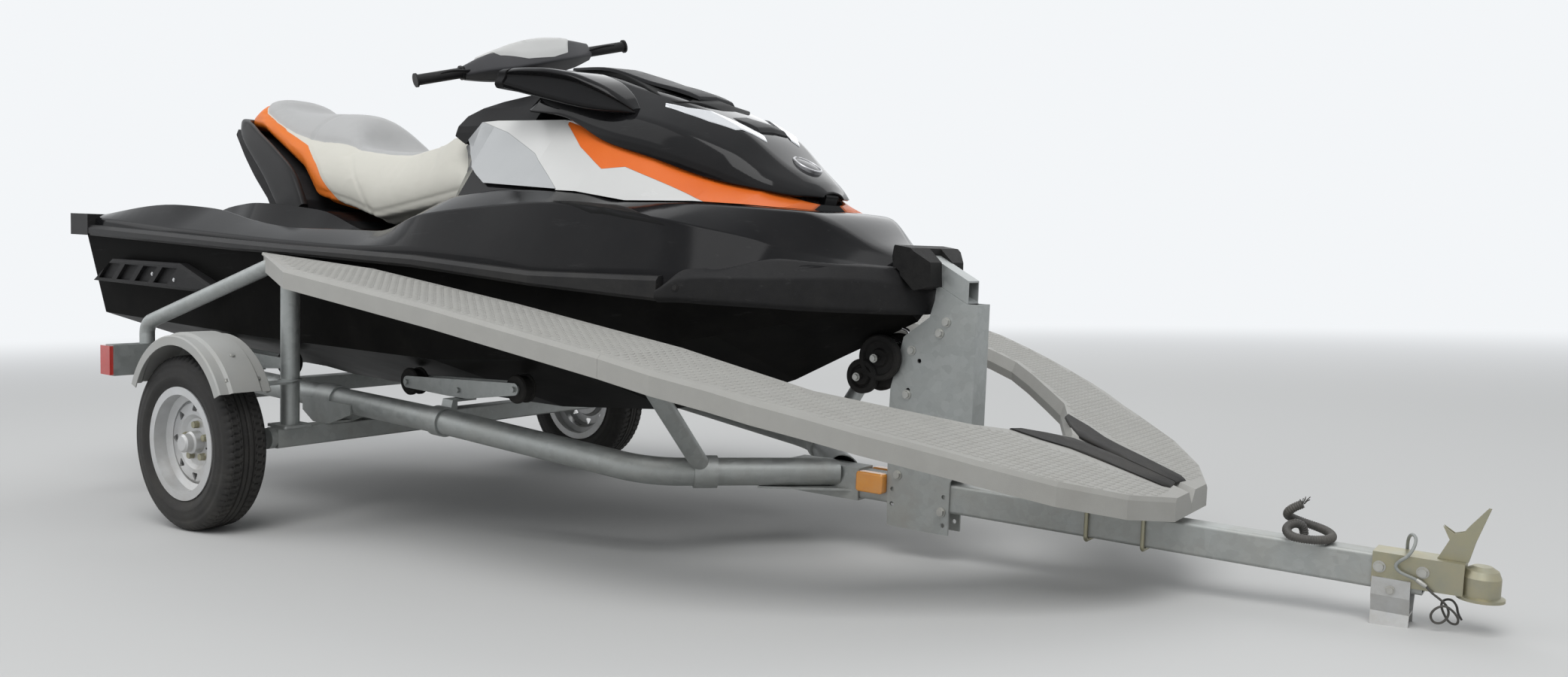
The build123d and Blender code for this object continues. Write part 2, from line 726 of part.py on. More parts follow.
with BuildPart() as bogie_brackets:
    for rear_x, front_x in bogies:
        pivot_x, pivot_z = pivot(rear_x, front_x)
        tube_z = tube_middle(pivot_x)
        with BuildSketch(Plane((pivot_x, tube_side_y, tube_z), x_dir=(0, 1, 0), z_dir=tube_run)):
            Circle(tube_radius + seat_gap + clip_plate)
            Polygon(
                (-38, -22), (-38, pivot_z - tube_z - 30), (roller_inner_y + 4 - tube_side_y, pivot_z - tube_z - 30),
                (roller_inner_y + 4 - tube_side_y, pivot_z - tube_z + 18),
                (plate_outer_y - 5 - tube_side_y, pivot_z - tube_z + 18),
                (plate_outer_y - 5 - tube_side_y, pivot_z - tube_z - 24), (-20, pivot_z - tube_z - 24),
                (-12, 30), (-30, 22), align=None,
            )
            Circle(tube_radius + seat_gap, mode=Mode.SUBTRACT)
        extrude(amount=22, both=True)
        with BuildSketch(Plane.XZ.offset(-plate_outer_y - 1)):
            with Locations((pivot_x, pivot_z)):
                Circle(bogie_pin_radius + slip_gap)
        extrude(amount=plate_outer_y - plate_inner_y, mode=Mode.SUBTRACT)
    both_sides()
keep(bogie_brackets.part, "bogie_brackets")

# Bow post: two cut plates astride the drawbar with a web in front; the columns are x, z of the outline
post_inner = bar_half_width + seat_gap
post_outline = [
    (1962, 190), (2146, 190), (2146, 330), (2201, 420), (2201, 797), (2170, 797), (2082, 842), (2078, 802),
    (2065, 757), (1990, 700), (1956, 560), (1954, 480),
]
post_holes = [(1975, 250), (1975, 290), (2130, 215), (2130, 250), (2130, 290), (2010, 560), (2040, 640)]
post_web_z = 420.0
with BuildPart() as bow_post:
    for plate_y in (post_inner + post_plate, -post_inner):
        with BuildSketch(Plane.XZ.offset(-plate_y)):
            Polygon(*post_outline, align=None)
            with Locations(*post_holes):
                Circle(6, mode=Mode.SUBTRACT)
        extrude(amount=post_plate)
    with BuildSketch(Plane.XY.offset(post_web_z)):
        with Locations((post_outline[3][0] - post_plate / 2, 0)):
            Rectangle(post_plate, 2 * post_inner + 2)
    extrude(amount=post_outline[4][1] - post_web_z)
keep(bow_post.part, "bow_post")

# Arm of square tube on top of the post
arm_rear_x = 2054.0
with BuildPart() as bow_arm:
    with BuildSketch(Plane.XZ.offset(-post_arm_half)):
        Polygon(
            (arm_rear_x, 917), (2170, 856), (2170, 797.3), (arm_rear_x, 857), align=None,
        )
    extrude(amount=2 * post_arm_half)
    with BuildSketch(Plane.XZ.offset(-post_arm_half + 4)):
        Polygon(
            (arm_rear_x + 4, 910.4), (2175, 848.8), (2175, 799.5), (arm_rear_x + 4, 859.5), align=None,
        )
    extrude(amount=2 * (post_arm_half - 4), mode=Mode.SUBTRACT)
keep(bow_arm.part, "bow_arm")

# Keel discs under the bow: two large and two small, on the pins of a bracket between the post's plates
disc_places = [(1928.0, 640.0, 62.0), (1876.0, 586.0, 47.0)]
bracket_outer = post_inner - seat_gap
with BuildPart() as keel_discs:
    for plate_y in (bracket_outer, -bracket_outer + clip_plate):
        with BuildSketch(Plane.XZ.offset(-plate_y)):
            Polygon(
                (1858, 570), (1858, 604), (1912, 664), (1946, 664), (2030, 600), (2030, 560), (1890, 560),
                align=None,
            )
        extrude(amount=clip_plate)
    for x, z, radius in disc_places:
        with BuildSketch(Plane.XZ.offset(-bow_disc_y - 30)):
            with Locations((x, z)):
                Circle(7)
        extrude(amount=2 * bow_disc_y + 60)
        for side in (1, -1):
            disc_plane = Plane((x, side * bow_disc_y, z), x_dir=(1, 0, 0), z_dir=(0, 0, side))
            with BuildSketch(disc_plane):
                Polygon(
                    (7 + slip_gap, 0), (radius - 4, 0), (radius, 4), (radius, 18), (radius - 4, 22),
                    (radius - 14, 22), (radius - 18, 14), (26, 14), (22, 22), (7 + slip_gap, 22), align=None,
                )
            revolve(axis=Axis((x, 0, z), (0, 1, 0)))
keep(keel_discs.part, "keel_discs")

# Amber side lamps on the drawbar
with BuildPart() as side_lamps:
    with BuildSketch(Plane.XZ.offset(-bar_half_width - seat_gap - 26)):
        with Locations((1912, 300)):
            RectangleRounded(84, 55, 9)
    extrude(amount=26)
    fillet(edges().group_by(Axis.Y)[-1], 5)
    both_sides()
keep(side_lamps.part, "side_lamps")

# Coupler: a pressed channel bolted over the drawbar's end, drawn in to a ball socket open below
coupler_grip = 99.0
coupler_rear_x = bar_front_x - coupler_grip
socket_x = bar_front_x + 106
coupler_taper_x = socket_x - 82
coupler_neck_x = socket_x - 30
socket_radius = 25.8
socket_z = 283.0
coupler_wall = 5.0
coupler_half = bar_half_width + seat_gap + coupler_wall
coupler_top_z = bar_top_z + seat_gap + coupler_wall
coupler_foot_z = 262.0
with BuildPart() as coupler:
    with BuildSketch(Plane.XY.offset(coupler_foot_z)):
        Polygon(
            (coupler_rear_x, -coupler_half), (coupler_taper_x, -coupler_half), (coupler_neck_x, -31),
            (coupler_neck_x, 31), (coupler_taper_x, coupler_half), (coupler_rear_x, coupler_half), align=None,
        )
    extrude(amount=coupler_top_z - coupler_foot_z)
    with BuildSketch(Plane.XZ):
        Polygon(
            (socket_x, coupler_foot_z - 6), (socket_x + 46, coupler_foot_z - 6), (socket_x + 46, coupler_foot_z),
            (socket_x + 37, coupler_foot_z + 3), (socket_x + 37, 303), (socket_x + 31, 318),
            (socket_x + 18, 326), (socket_x, 327), align=None,
        )
    revolve(axis=Axis((socket_x, 0, 0), (0, 0, 1)))
    with BuildSketch(Plane.XY.offset(coupler_foot_z - 6)):
        with Locations((socket_x, 0)):
            Circle(socket_radius)
    extrude(amount=socket_z - coupler_foot_z + 6, mode=Mode.SUBTRACT)
    with Locations((socket_x, 0, socket_z)):
        Sphere(socket_radius, mode=Mode.SUBTRACT)
    with BuildSketch(Plane.YZ.offset(coupler_rear_x - 1)):
        with Locations((0, bar_top_z + seat_gap - 60)):
            Rectangle(2 * (bar_half_width + seat_gap), 120)
    extrude(amount=bar_front_x + seat_gap - coupler_rear_x + 1, mode=Mode.SUBTRACT)
keep(coupler.part, "coupler")

# Latch lever that stands up behind the ball
lever_half = 9.0
with BuildPart() as coupler_lever:
    for plate_y in (lever_half, -lever_half + 3):
        with BuildSketch(Plane.XZ.offset(-plate_y)):
            Polygon(
                (socket_x - 84, coupler_top_z + seat_gap), (socket_x - 26, coupler_top_z + seat_gap),
                (socket_x - 16, 372), (socket_x + 8, 446), (socket_x + 2, 446), (socket_x - 30, 404),
                (socket_x - 38, 392), (socket_x - 56, 386), (socket_x - 78, 400), (socket_x - 64, 372), align=None,
            )
        extrude(amount=3)
    with BuildSketch(Plane.XY.offset(coupler_top_z + seat_gap)):
        with Locations((socket_x - 55, 0)):
            Rectangle(58, 2 * lever_half)
    extrude(amount=3)
keep(coupler_lever.part, "coupler_lever")

# Foot bracket: folded plate under the coupler that the drawbar rests on when it is unhitched
foot_length = 76.0
foot_rear_x = coupler_rear_x + 2
foot_front_x = foot_rear_x + foot_length
foot_plate = 5.0
foot_out = coupler_half + seat_gap
foot_low = ground_height(foot_rear_x) - 10
with BuildPart() as foot_bracket:
    with BuildSketch(Plane.YZ.offset(foot_rear_x)):
        for side in (1, -1):
            Polygon(
                (side * foot_out, 276), (side * foot_out, 238), (side * (foot_out - 14), 200),
                (side * (foot_out - 4), foot_low), (side * (foot_out - 4 + foot_plate), foot_low),
                (side * (foot_out - 14 + foot_plate), 200), (side * (foot_out + foot_plate), 238),
                (side * (foot_out + foot_plate), 276), align=None,
            )
        Polygon(
            (foot_out - 14, 198), (foot_out - 14, 203), (-foot_out + 14, 203), (-foot_out + 14, 198),
            align=None,
        )
    extrude(amount=foot_front_x - foot_rear_x)
    with BuildSketch(Plane.XZ.offset(-100)):
        Polygon(
            (foot_rear_x - 10, ground_height(foot_rear_x - 10)),
            (foot_front_x + 10, ground_height(foot_front_x + 10)), (foot_front_x + 10, 100),
            (foot_rear_x - 10, 100), align=None,
        )
    extrude(amount=200, mode=Mode.SUBTRACT)
keep(foot_bracket.part, "foot_bracket")


def bend_radii(route):
    """Radius at each inner point of a route: 0.45 of the shorter run over the tangent of half the turn."""
    spots = [Vector(*spot) for spot in route]
    runs = [after - before for before, after in zip(spots, spots[1:])]
    radii = [
        0.45 * min(before.length, after.length) / tan(radians(before.get_angle(after)) / 2)
        for before, after in zip(runs, runs[1:])
    ]
    print("bends", [round(radius) for radius in radii])
    return radii


# Cords at the drawbar's front end, drawn where the photograph has them; each point is x, y, z.
# Wiring loom: out of its outlet, one loose turn on top of the drawbar, its open end standing up
loom_route = [
    (3014, 4, 330.3), (3014, 4, 352), (2994, -13, 360), (2982, -35, 348), (2996, -54, 337), (3022, -58, 335.4),
    (3048, -50, 335.2), (3067, -31, 335.4), (3075, -5, 335.8), (3069, 21, 338), (3051, 41, 342),
    (3025, 50, 346), (2999, 46, 352), (2979, 29, 361), (2973, 6, 372), (2986, -6, 390), (3008, -2, 402),
]
with BuildPart() as wiring_loom:
    with BuildLine() as loom_line:
        FilletPolyline(*loom_route, radius=bend_radii(loom_route))
    with BuildSketch(Plane(origin=loom_line.line @ 0, z_dir=loom_line.line % 0)):
        Circle(loom_radius)
    sweep()
keep(wiring_loom.part, "wiring_loom")

# Safety cable: from its eye on the coupler's port side over the top and down the starboard side
cable_radius = 3.5
cable_route = [
    (3222, 35.7, 300), (3222, 47, 301), (3218, 46, 328), (3221, 28, 356), (3231, 6, 371), (3243, -16, 366),
    (3242, -36, 349), (3233, -45, 331), (3219, -48, 320), (3209, -47, 308), (3217, -46, 296),
    (3234, -45, 290), (3252, -44, 285), (3270, -43, 274),
]
with BuildPart() as safety_cable:
    with BuildLine() as cable_line:
        FilletPolyline(*cable_route, radius=bend_radii(cable_route))
    with BuildSketch(Plane(origin=cable_line.line @ 0, z_dir=cable_line.line % 0)):
        Circle(cable_radius)
    sweep()
keep(safety_cable.part, "safety_cable")

# Thin black wires that go on from the cable and hang below the coupler in two loops
wire_radius = 2.5
wire_route = [
    (3270.3, -42.9, 273.8), (3281, -41, 262), (3298, -36, 250), (3312, -28, 236), (3316, -24, 216),
    (3304, -24, 197), (3288, -29, 196), (3281, -36, 212), (3290, -40, 230), (3308, -38, 240),
    (3324, -33, 229), (3334, -24, 213), (3331, -14, 197), (3316, -8, 196), (3304, -6, 212), (3297, -10, 232),
    (3303, -16, 246), (3318, -18, 250), (3328, -12, 236), (3329, -2, 218), (3336, 8, 204),
]
with BuildPart() as hanging_wires:
    with BuildLine() as wire_line:
        FilletPolyline(*wire_route, radius=bend_radii(wire_route))
    with BuildSketch(Plane(origin=wire_line.line @ 0, z_dir=wire_line.line % 0)):
        Circle(wire_radius)
    sweep()
    add(safety_cable.part, mode=Mode.SUBTRACT)
keep(hanging_wires.part, "hanging_wires")

# Craft hull: solid V bottom with a bay for the engine, a tunnel for the jet pump and a recess at the stern
engine_half = (330.0, 190.0)
engine_low_z = 456.0
engine_high_z = 888.0
bay_room = 10.0
tunnel_radius = 122.0
tunnel_front_x = -720.0
recess_front_x = -1010.0
recess_half = 176.0
recess_top_z = 668.0
intake_half = 90.0
intake_front_x = -400.0
with BuildPart() as hull:
    for x, keel, chine_y, chine_z, bond_y, bond_z in hull_rows:
        with BuildSketch(Plane.YZ.offset(x)):
            Polygon(*whole([(0, keel), (chine_y, chine_z), (bond_y, bond_z)]), align=None)
    loft(ruled=True)
    with BuildSketch(Plane.XY.offset(engine_low_z - seat_gap)):
        Rectangle(2 * (engine_half[0] + bay_room), 2 * (engine_half[1] + bay_room))
    extrude(amount=600, mode=Mode.SUBTRACT)
    with BuildSketch(Plane.YZ.offset(hull_stern_x - 1)):
        with Locations((0, pump_z)):
            Circle(tunnel_radius)
        with Locations((0, pump_z - 100)):
            Rectangle(2 * tunnel_radius, 200)
    extrude(amount=tunnel_front_x - hull_stern_x + 1, mode=Mode.SUBTRACT)
    with BuildSketch(Plane.YZ.offset(hull_stern_x - 1)):
        with Locations((0, recess_top_z - 200)):
            Rectangle(2 * recess_half, 400)
    extrude(amount=recess_front_x - hull_stern_x + 1, mode=Mode.SUBTRACT)
    with BuildSketch(Plane.XZ.offset(-intake_half)):
        Polygon(
            (tunnel_front_x - 1, 300), (tunnel_front_x - 1, pump_z + 60), (tunnel_front_x + 60, pump_z + 40),
            (intake_front_x, 380), (intake_front_x, 300), align=None,
        )
    extrude(amount=2 * intake_half, mode=Mode.SUBTRACT)
    with BuildSketch(Plane.YZ.offset(tunnel_front_x - 1)):
        with Locations((0, pump_z)):
            Circle(shaft_radius + slip_gap)
    extrude(amount=-engine_half[0] - tunnel_front_x, mode=Mode.SUBTRACT)
keep(hull.part, "hull")

with BuildPart() as engine:
    with BuildSketch(Plane.XY.offset(engine_low_z)):
        Rectangle(2 * engine_half[0], 2 * engine_half[1])
    extrude(amount=engine_high_z - engine_low_z)
keep(engine.part, "engine")

# Deck: gunwales, footwells and seat pedestal aft, and the creased pods forward. The columns are x, then
# half width and height of the gunwale, crest, outer and inner side of the footwell and the top's edge
deck_rows = [
    (-1284, (568, 912), (515, 925), (490, 900), (300, 900), (240, 904)),
    (-1165, (570, 925), (520, 945), (490, 903), (300, 903), (240, 907)),
    (-738, (573, 905), (500, 988), (455, 900), (320, 900), (270, 992)),
    (-540, (577, 900), (465, 979), (440, 895), (345, 895), (300, 1004)),
    (-233, (579, 890), (490, 940), (455, 885), (330, 885), (262, 985)),
    (14, (580, 882), (500, 925), (450, 878), (310, 878), (240, 918)),
    (372, (581, 876), (480, 925), (430, 876), (345, 876), (290, 985)),
    (663, (582, 878), (540, 978), (440, 1030), (425, 1034), (300, 1036)),
    (940, (580, 868), (520, 1008), (430, 1057), (402, 1060), (300, 1062)),
    (1134, (573, 856), (515, 1020), (412, 1050), (390, 1054), (300, 1056)),
    (1301, (558, 852), (495, 1010), (392, 1029), (370, 1032), (250, 1034)),
    (1504, (524, 852), (450, 985), (352, 1031), (330, 1035), (200, 1037)),
    (1623, (490, 850), (415, 965), (300, 1027), (280, 1031), (150, 1033)),
    (1718, (436, 858), (370, 945), (262, 1021), (240, 1025), (120, 1027)),
    (1782, (396, 870), (330, 925), (225, 1016), (200, 1020), (100, 1023)),
    (1920, (268, 880), (218, 897), (138, 928), (110, 940), (55, 946)),
    (1985, (166, 872), (125, 884), (80, 900), (60, 906), (30, 911)),
    (2010, (127, 866), (95, 876), (60, 888), (40, 893), (20, 896)),
]
deck_columns = [(x, *[value for corner in half for value in corner]) for x, *half in deck_rows]
deck_stations = sorted({row[0] for row in deck_rows} | {row[0] for row in hull_rows})
with BuildPart() as deck:
    for x in deck_stations:
        half = along(deck_columns, x)
        with BuildSketch(Plane.YZ.offset(x)):
            Polygon(*whole([tuple(bond(x)), *zip(half[0::2], half[1::2])]), align=None)
    loft(ruled=True)
    with BuildSketch(Plane.XY.offset(700)):
        Rectangle(2 * (engine_half[0] + bay_room), 2 * (engine_half[1] + bay_room))
    extrude(amount=engine_high_z + bay_room - 700, mode=Mode.SUBTRACT)
keep(deck.part, "deck")


def deck_middle(x):
    """Height of the deck's flat middle at x."""
    return along([(row[0], row[-1][1]) for row in deck_rows], x)[0]


# Bumper rail along the bond, with a moulded block round each corner of the stern; the columns are x and
# the rail's lower and upper edge
rail_front_x = 1560.0
rail_rear_x = -1150.0
rail_rows = [
    (rail_rear_x, 863, 903),
    (-200, 842, 877),
    (101, 839, 870),
    (700, 826, 862),
    (1166, 798, 838),
    (1470, 784, 842),
    (rail_front_x, 779, 843),
]
with BuildPart() as bumper_rail:
    for x, low, high in rail_rows:
        inside = bond(x)[0] + seat_gap
        outside = bond(x)[0] + rail_out
        with BuildSketch(Plane.YZ.offset(x)):
            Polygon(
                (inside, low + 5), (outside - 7, low), (outside, low + 8), (outside, high - 13),
                (outside - 9, high - 2), (inside, high), align=None,
            )
    loft(ruled=True)
    with BuildSketch(Plane.XY.offset(864)):
        Polygon(
            (-1290, 500), (-1290, 584), (-1276, 600), (rail_rear_x - 2 * seat_gap, 600),
            (rail_rear_x - 2 * seat_gap, 556), (-1190, 548), (-1210, 500), align=None,
        )
    extrude(amount=78)
    add(deck.part, mode=Mode.SUBTRACT)
    add(hull.part, mode=Mode.SUBTRACT)
    both_sides()
keep(bumper_rail.part, "bumper_rail")

# Bow fascia: one moulding round the bow; the columns are x, half width, lower edge, crease, upper edge
fascia_rows = [
    (rail_front_x + 2 * seat_gap, 545, 776, 838, 862),
    (1623, 520, 778, 846, 868),
    (1782, 430, 773, 852, 878),
    (1920, 300, 767, 855, 884),
    (2010, 178, 764, 850, 884),
    (2035, 118, 763, 840, 866),
    (2052, 34, 762, 812, 822),
]
with BuildPart() as bow_fascia:
    for x, out, low, crease, high in fascia_rows:
        with BuildSketch(Plane.YZ.offset(x)):
            Polygon(*whole([(out - 14, low), (out, low + 10), (out, crease), (out - 18, high)]), align=None)
    loft(ruled=True)
    add(deck.part, mode=Mode.SUBTRACT)
    add(hull.part, mode=Mode.SUBTRACT)
keep(bow_fascia.part, "bow_fascia")

# Rubber bow stop on the rear end of the arm, shaped to the bow that it holds
with BuildPart() as bow_stop:
    with BuildSketch(Plane.XZ.offset(-130)):
        Polygon(
            (2000, 888), (1984, 912), (2006, 942), (2052, 936), (2090, 900), (2094, 838), (2064, 828),
            align=None,
        )
    extrude(amount=260)
    for side in (1, -1):
        with BuildSketch(Plane.XY.offset(800)):
            Polygon((2110, side * 66), (2060, side * 131), (2110, side * 131), align=None)
            Polygon((1970, side * 84), (1970, side * 131), (2004, side * 131), align=None)
        extrude(amount=200, mode=Mode.SUBTRACT)
    with BuildSketch(Plane.XY.offset(800)):
        with Locations((arm_rear_x - seat_gap + 60, 0)):
            Rectangle(120, 2 * (post_arm_half + seat_gap))
    extrude(amount=200, mode=Mode.SUBTRACT)
    add(bow_post.part, mode=Mode.SUBTRACT)
    add(deck.part, mode=Mode.SUBTRACT)
    add(bow_fascia.part, mode=Mode.SUBTRACT)
keep(bow_stop.part, "bow_stop")

# Sponsons low on the sides aft, each with four slanted recesses
sponson_out = 600.0
sponson_outline = [(-1127, 700), (-990, 783), (-537, 785), (-307, 708), (-421, 694)]
with BuildPart() as sponsons:
    with BuildSketch(Plane.XZ.offset(-sponson_out)):
        Polygon(*sponson_outline, align=None)
    extrude(amount=80)
    chamfer(faces().sort_by(Axis.Y)[-1].edges(), 9)
    with BuildSketch(Plane.XZ.offset(-sponson_out)):
        for start in (-1010, -885, -760, -635):
            Polygon(
                (start - 62, 712), (start, 768), (start + 92, 768), (start + 30, 712), align=None,
            )
    extrude(amount=14, mode=Mode.SUBTRACT)
    add(hull.part, mode=Mode.SUBTRACT)
    both_sides()
keep(sponsons.part, "sponsons")

# Front body between deck and storage lid, holding the storage tub; the columns are x, half width at the
# deck, and half width and height of the top edge
core_rows = [
    (480, 292, 240, 1200),
    (593, 372, 262, 1270),
    (663, 424, 262, 1273),
    (940, 415, 254, 1270),
    (1134, 400, 255, 1215),
    (1301, 380, 247, 1170),
    (1504, 340, 217, 1102),
    (1623, 284, 176, 1078),
    (1700, 200, 107, 1050),
    (1718, 90, 60, 1043),
]
seat_front = [(430, 1228), (588, 1111), (488, 1034)]
seat_room = 10.0
tub_rear_x = 790.0
tub_front_x = 1400.0
tub_half = 190.0
tub_floor_z = 1078.0
knuckle_radius = 8.0
with BuildPart() as front_body:
    for x, foot, edge, edge_z in core_rows:
        low = deck_middle(x) + seat_gap
        inset = panel_thickness + seat_gap
        with BuildSketch(Plane.YZ.offset(x)):
            Polygon(*whole([(foot - inset, low), (edge - inset, edge_z)]), align=None)
    loft(ruled=True)
    with BuildSketch(Plane.XY.offset(tub_floor_z)):
        with Locations(((tub_rear_x + tub_front_x) / 2, 0)):
            RectangleRounded(tub_front_x - tub_rear_x, 2 * tub_half, 40)
    extrude(amount=400, mode=Mode.SUBTRACT)
    with BuildSketch(Plane.XZ.offset(-400)):
        Polygon(
            (300, 1400), (seat_front[0][0] + seat_room, 1400), (seat_front[0][0] + seat_room, seat_front[0][1]),
            (seat_front[1][0] + seat_room, seat_front[1][1]), (seat_front[2][0] + seat_room, seat_front[2][1]),
            (seat_front[2][0] + seat_room, 900), (300, 900), align=None,
        )
    extrude(amount=800, mode=Mode.SUBTRACT)
    with BuildSketch(Plane.XZ.offset(-hinge_lug[0] + seat_gap)):
        Polygon(
            (hinge_x - 24, hinge_z - 31), (hinge_x - knuckle_radius, hinge_z),
            (hinge_x + knuckle_radius, hinge_z), (hinge_x, hinge_z - 31), align=None,
        )
        with Locations((hinge_x, hinge_z)):
            Circle(knuckle_radius)
    extrude(amount=2 * (hinge_lug[0] - seat_gap))
    with BuildSketch(Plane.XZ.offset(-hinge_lug[1])):
        with Locations((hinge_x, hinge_z)):
            Circle(hinge_pin_radius)
    extrude(amount=2 * hinge_lug[1])
keep(front_body.part, "front_body")

# Side panels in three colours, skins over the front body; each outline is in x and z
panel_gap = 0.3
panel_outlines = {
    "silver": [(506, 1221), (520, 1300), (588, 1300), (593, 1272), (735, 1234), (905, 1166), (1062, 1062),
               (757, 1077), (698, 1105)],
    "white": [(588, 1300), (955, 1300), (961, 1256), (1050, 1187), (1166, 1122), (1233, 1129), (1533, 1036),
              (1560, 1000), (1062, 1000), (1062, 1062), (905, 1166), (735, 1234), (593, 1272)],
    "orange": [(955, 1300), (961, 1256), (1050, 1187), (1166, 1122), (1233, 1129), (1533, 1036),
               (1560, 1000), (1730, 1000), (1730, 1300)],
}
for colour, outline in panel_outlines.items():
    with BuildPart() as panel:
        for x, foot, edge, edge_z in core_rows:
            low = deck_middle(x) + seat_gap
            with BuildSketch(Plane.YZ.offset(x)):
                Polygon(
                    (foot - panel_thickness, low), (foot, low), (edge, edge_z),
                    (edge - panel_thickness, edge_z), align=None,
                )
        loft(ruled=True)
        with BuildSketch(Plane.XZ.offset(-500)):
            Polygon(*outline, align=None)
            offset(amount=-panel_gap, kind=Kind.INTERSECTION)
        extrude(amount=450, mode=Mode.INTERSECT)
        both_sides()
    keep(panel.part, f"side_panel_{colour}")

# Storage lid: hollow hood hinged at its nose; the columns are x, height of the middle, half width and
# height of the shoulder, of the flank and of the lower lip
lid_rows = [
    (800, 1456, (110, 1434), (200, 1362), (262, 1302)),
    (948, 1450, (128, 1424), (228, 1344), (282, 1284)),
    (1134, 1402, (140, 1378), (240, 1290), (283, 1203)),
    (1301, 1354, (140, 1332), (235, 1252), (275, 1158)),
    (1504, 1264, (130, 1246), (205, 1182), (245, 1099)),
    (1620, 1168, (100, 1158), (165, 1120), (205, 1079)),
    (1696, 1112, (60, 1106), (105, 1086), (132, 1064)),
    (1728, 1078, (22, 1076), (40, 1072), (52, 1062)),
]


def lid_outline(middle, shoulder, flank, lip, wall):
    """Section of the lid, or of its hollow when wall is the thickness of the moulding."""
    half = [
        (lip[0] - wall, lip[1] - 4 * wall), (lip[0] - wall, lip[1]),
        (flank[0] - 0.8 * wall, flank[1] - 0.6 * wall), (shoulder[0] - 0.5 * wall, shoulder[1] - 0.9 * wall),
        (0, middle - wall),
    ]
    return whole(half if wall else half[1:])


with BuildPart() as lid_block:
    for x, middle, shoulder, flank, lip in lid_rows:
        with BuildSketch(Plane.YZ.offset(x)):
            Polygon(*lid_outline(middle, shoulder, flank, lip, 0), align=None)
    loft(ruled=True)

lid_columns = [(x, middle, *shoulder, *flank, *lip) for x, middle, shoulder, flank, lip in lid_rows]
with BuildPart() as storage_lid:
    add(lid_block.part)
    for x in (800 + lid_wall, 948, 1134, 1301, 1504, 1620, 1690):
        middle, *rest = along(lid_columns, x)
        with BuildSketch(Plane.YZ.offset(x)):
            Polygon(*lid_outline(middle, rest[0:2], rest[2:4], rest[4:6], lid_wall), align=None)
    loft(ruled=True, mode=Mode.SUBTRACT)
    for lug_y in (hinge_lug[1], -hinge_lug[0]):
        with BuildSketch(Plane.XZ.offset(-lug_y)):
            Polygon(
                (hinge_x - 9, hinge_z), (hinge_x - 20, hinge_z + 30), (hinge_x + 4, hinge_z + 18),
                (hinge_x + 9, hinge_z), align=None,
            )
            with Locations((hinge_x, hinge_z)):
                Circle(knuckle_radius + 1)
        extrude(amount=hinge_lug[1] - hinge_lug[0])
    with BuildSketch(Plane.XZ.offset(-hinge_lug[1] - 30)):
        with Locations((hinge_x, hinge_z)):
            Circle(hinge_pin_radius + slip_gap)
    extrude(amount=2 * hinge_lug[1] + 60, mode=Mode.SUBTRACT)
    with BuildSketch(Plane.XZ.offset(-hinge_lug[0])):
        with Locations((hinge_x, hinge_z)):
            Circle(2 * knuckle_radius)
    extrude(amount=2 * hinge_lug[0], mode=Mode.SUBTRACT)
keep(storage_lid.part, "storage_lid")

# Mirror housings on the shoulders of the lid: one outline, shrunk towards its middle at each width
mirror_outline = [
    (780, 1365), (836, 1416), (986, 1412), (1123, 1379), (1200, 1329), (1213, 1292), (1081, 1284), (926, 1316),
]
mirror_middle = (1010.0, 1352.0)
mirror_widths = [(205, 0.94, 20), (330, 1.0, 0), (372, 0.9, -12), (392, 0.66, -20)]
with BuildPart() as mirror_housings:
    for y, size, shift in mirror_widths:
        with BuildSketch(Plane.XZ.offset(-y)):
            Polygon(
                *[(mirror_middle[0] + shift + size * (x - mirror_middle[0]),
                   mirror_middle[1] + size * (z - mirror_middle[1])) for x, z in mirror_outline],
                align=None,
            )
    loft(ruled=True)
    add(lid_block.part, mode=Mode.SUBTRACT)
    both_sides()
keep(mirror_housings.part, "mirror_housings")

# Steering: the frame of the handlebar, leaned back, with Y across the craft
rake = radians(steer_rake)
steer_up = Vector(-sin(rake), 0, cos(rake))
steer_plane = Plane((steer_x, 0, steer_z), x_dir=(cos(rake), 0, sin(rake)), z_dir=steer_up)
steering_axis = Axis((steer_x, 0, steer_z), steer_up)
column_low = -205.0
with BuildPart() as steering_cowl:
    with BuildSketch(Plane.XZ.offset(-240)):
        Polygon(
            (442, 1232), (466, 1296), (560, 1346), (640, 1368), (740, 1370), (790, 1330), (790, 1200),
            (600, 1150), (470, 1216), align=None,
        )
    extrude(amount=480)
    with BuildSketch(Plane.YZ.offset(400)):
        Polygon(*whole([(246, 1180), (238, 1262), (190, 1322), (100, 1372)]), align=None)
    extrude(amount=400, mode=Mode.INTERSECT)
    with BuildSketch(steer_plane.offset(column_low)):
        Circle(column_radius + slip_gap)
    extrude(amount=300, mode=Mode.SUBTRACT)
    for x, foot, edge, edge_z in core_rows:
        with BuildSketch(Plane.YZ.offset(x)):
            Polygon(*whole([(foot, 1000), (edge + seat_gap, edge_z + seat_gap)]), align=None)
    loft(ruled=True, mode=Mode.SUBTRACT)
keep(steering_cowl.part, "steering_cowl")

column_top = 16.0
with BuildPart() as handlebar:
    with BuildSketch(Plane.XZ.offset(-bar_half_span)):
        with Locations((steer_x, steer_z)):
            Circle(bar_radius)
    extrude(amount=2 * bar_half_span)
    for side in (1, -1):
        with BuildSketch(Plane.XZ.offset(side * bar_half_span)):
            with Locations((steer_x, steer_z)):
                Circle(bar_radius - 3)
        extrude(amount=-side * (bar_half_span - 60), mode=Mode.SUBTRACT)
    with BuildSketch(steer_plane.offset(column_low)):
        Circle(column_radius)
    extrude(amount=column_top - column_low)
keep(handlebar.part.rotate(steering_axis, -steer_now), "handlebar")

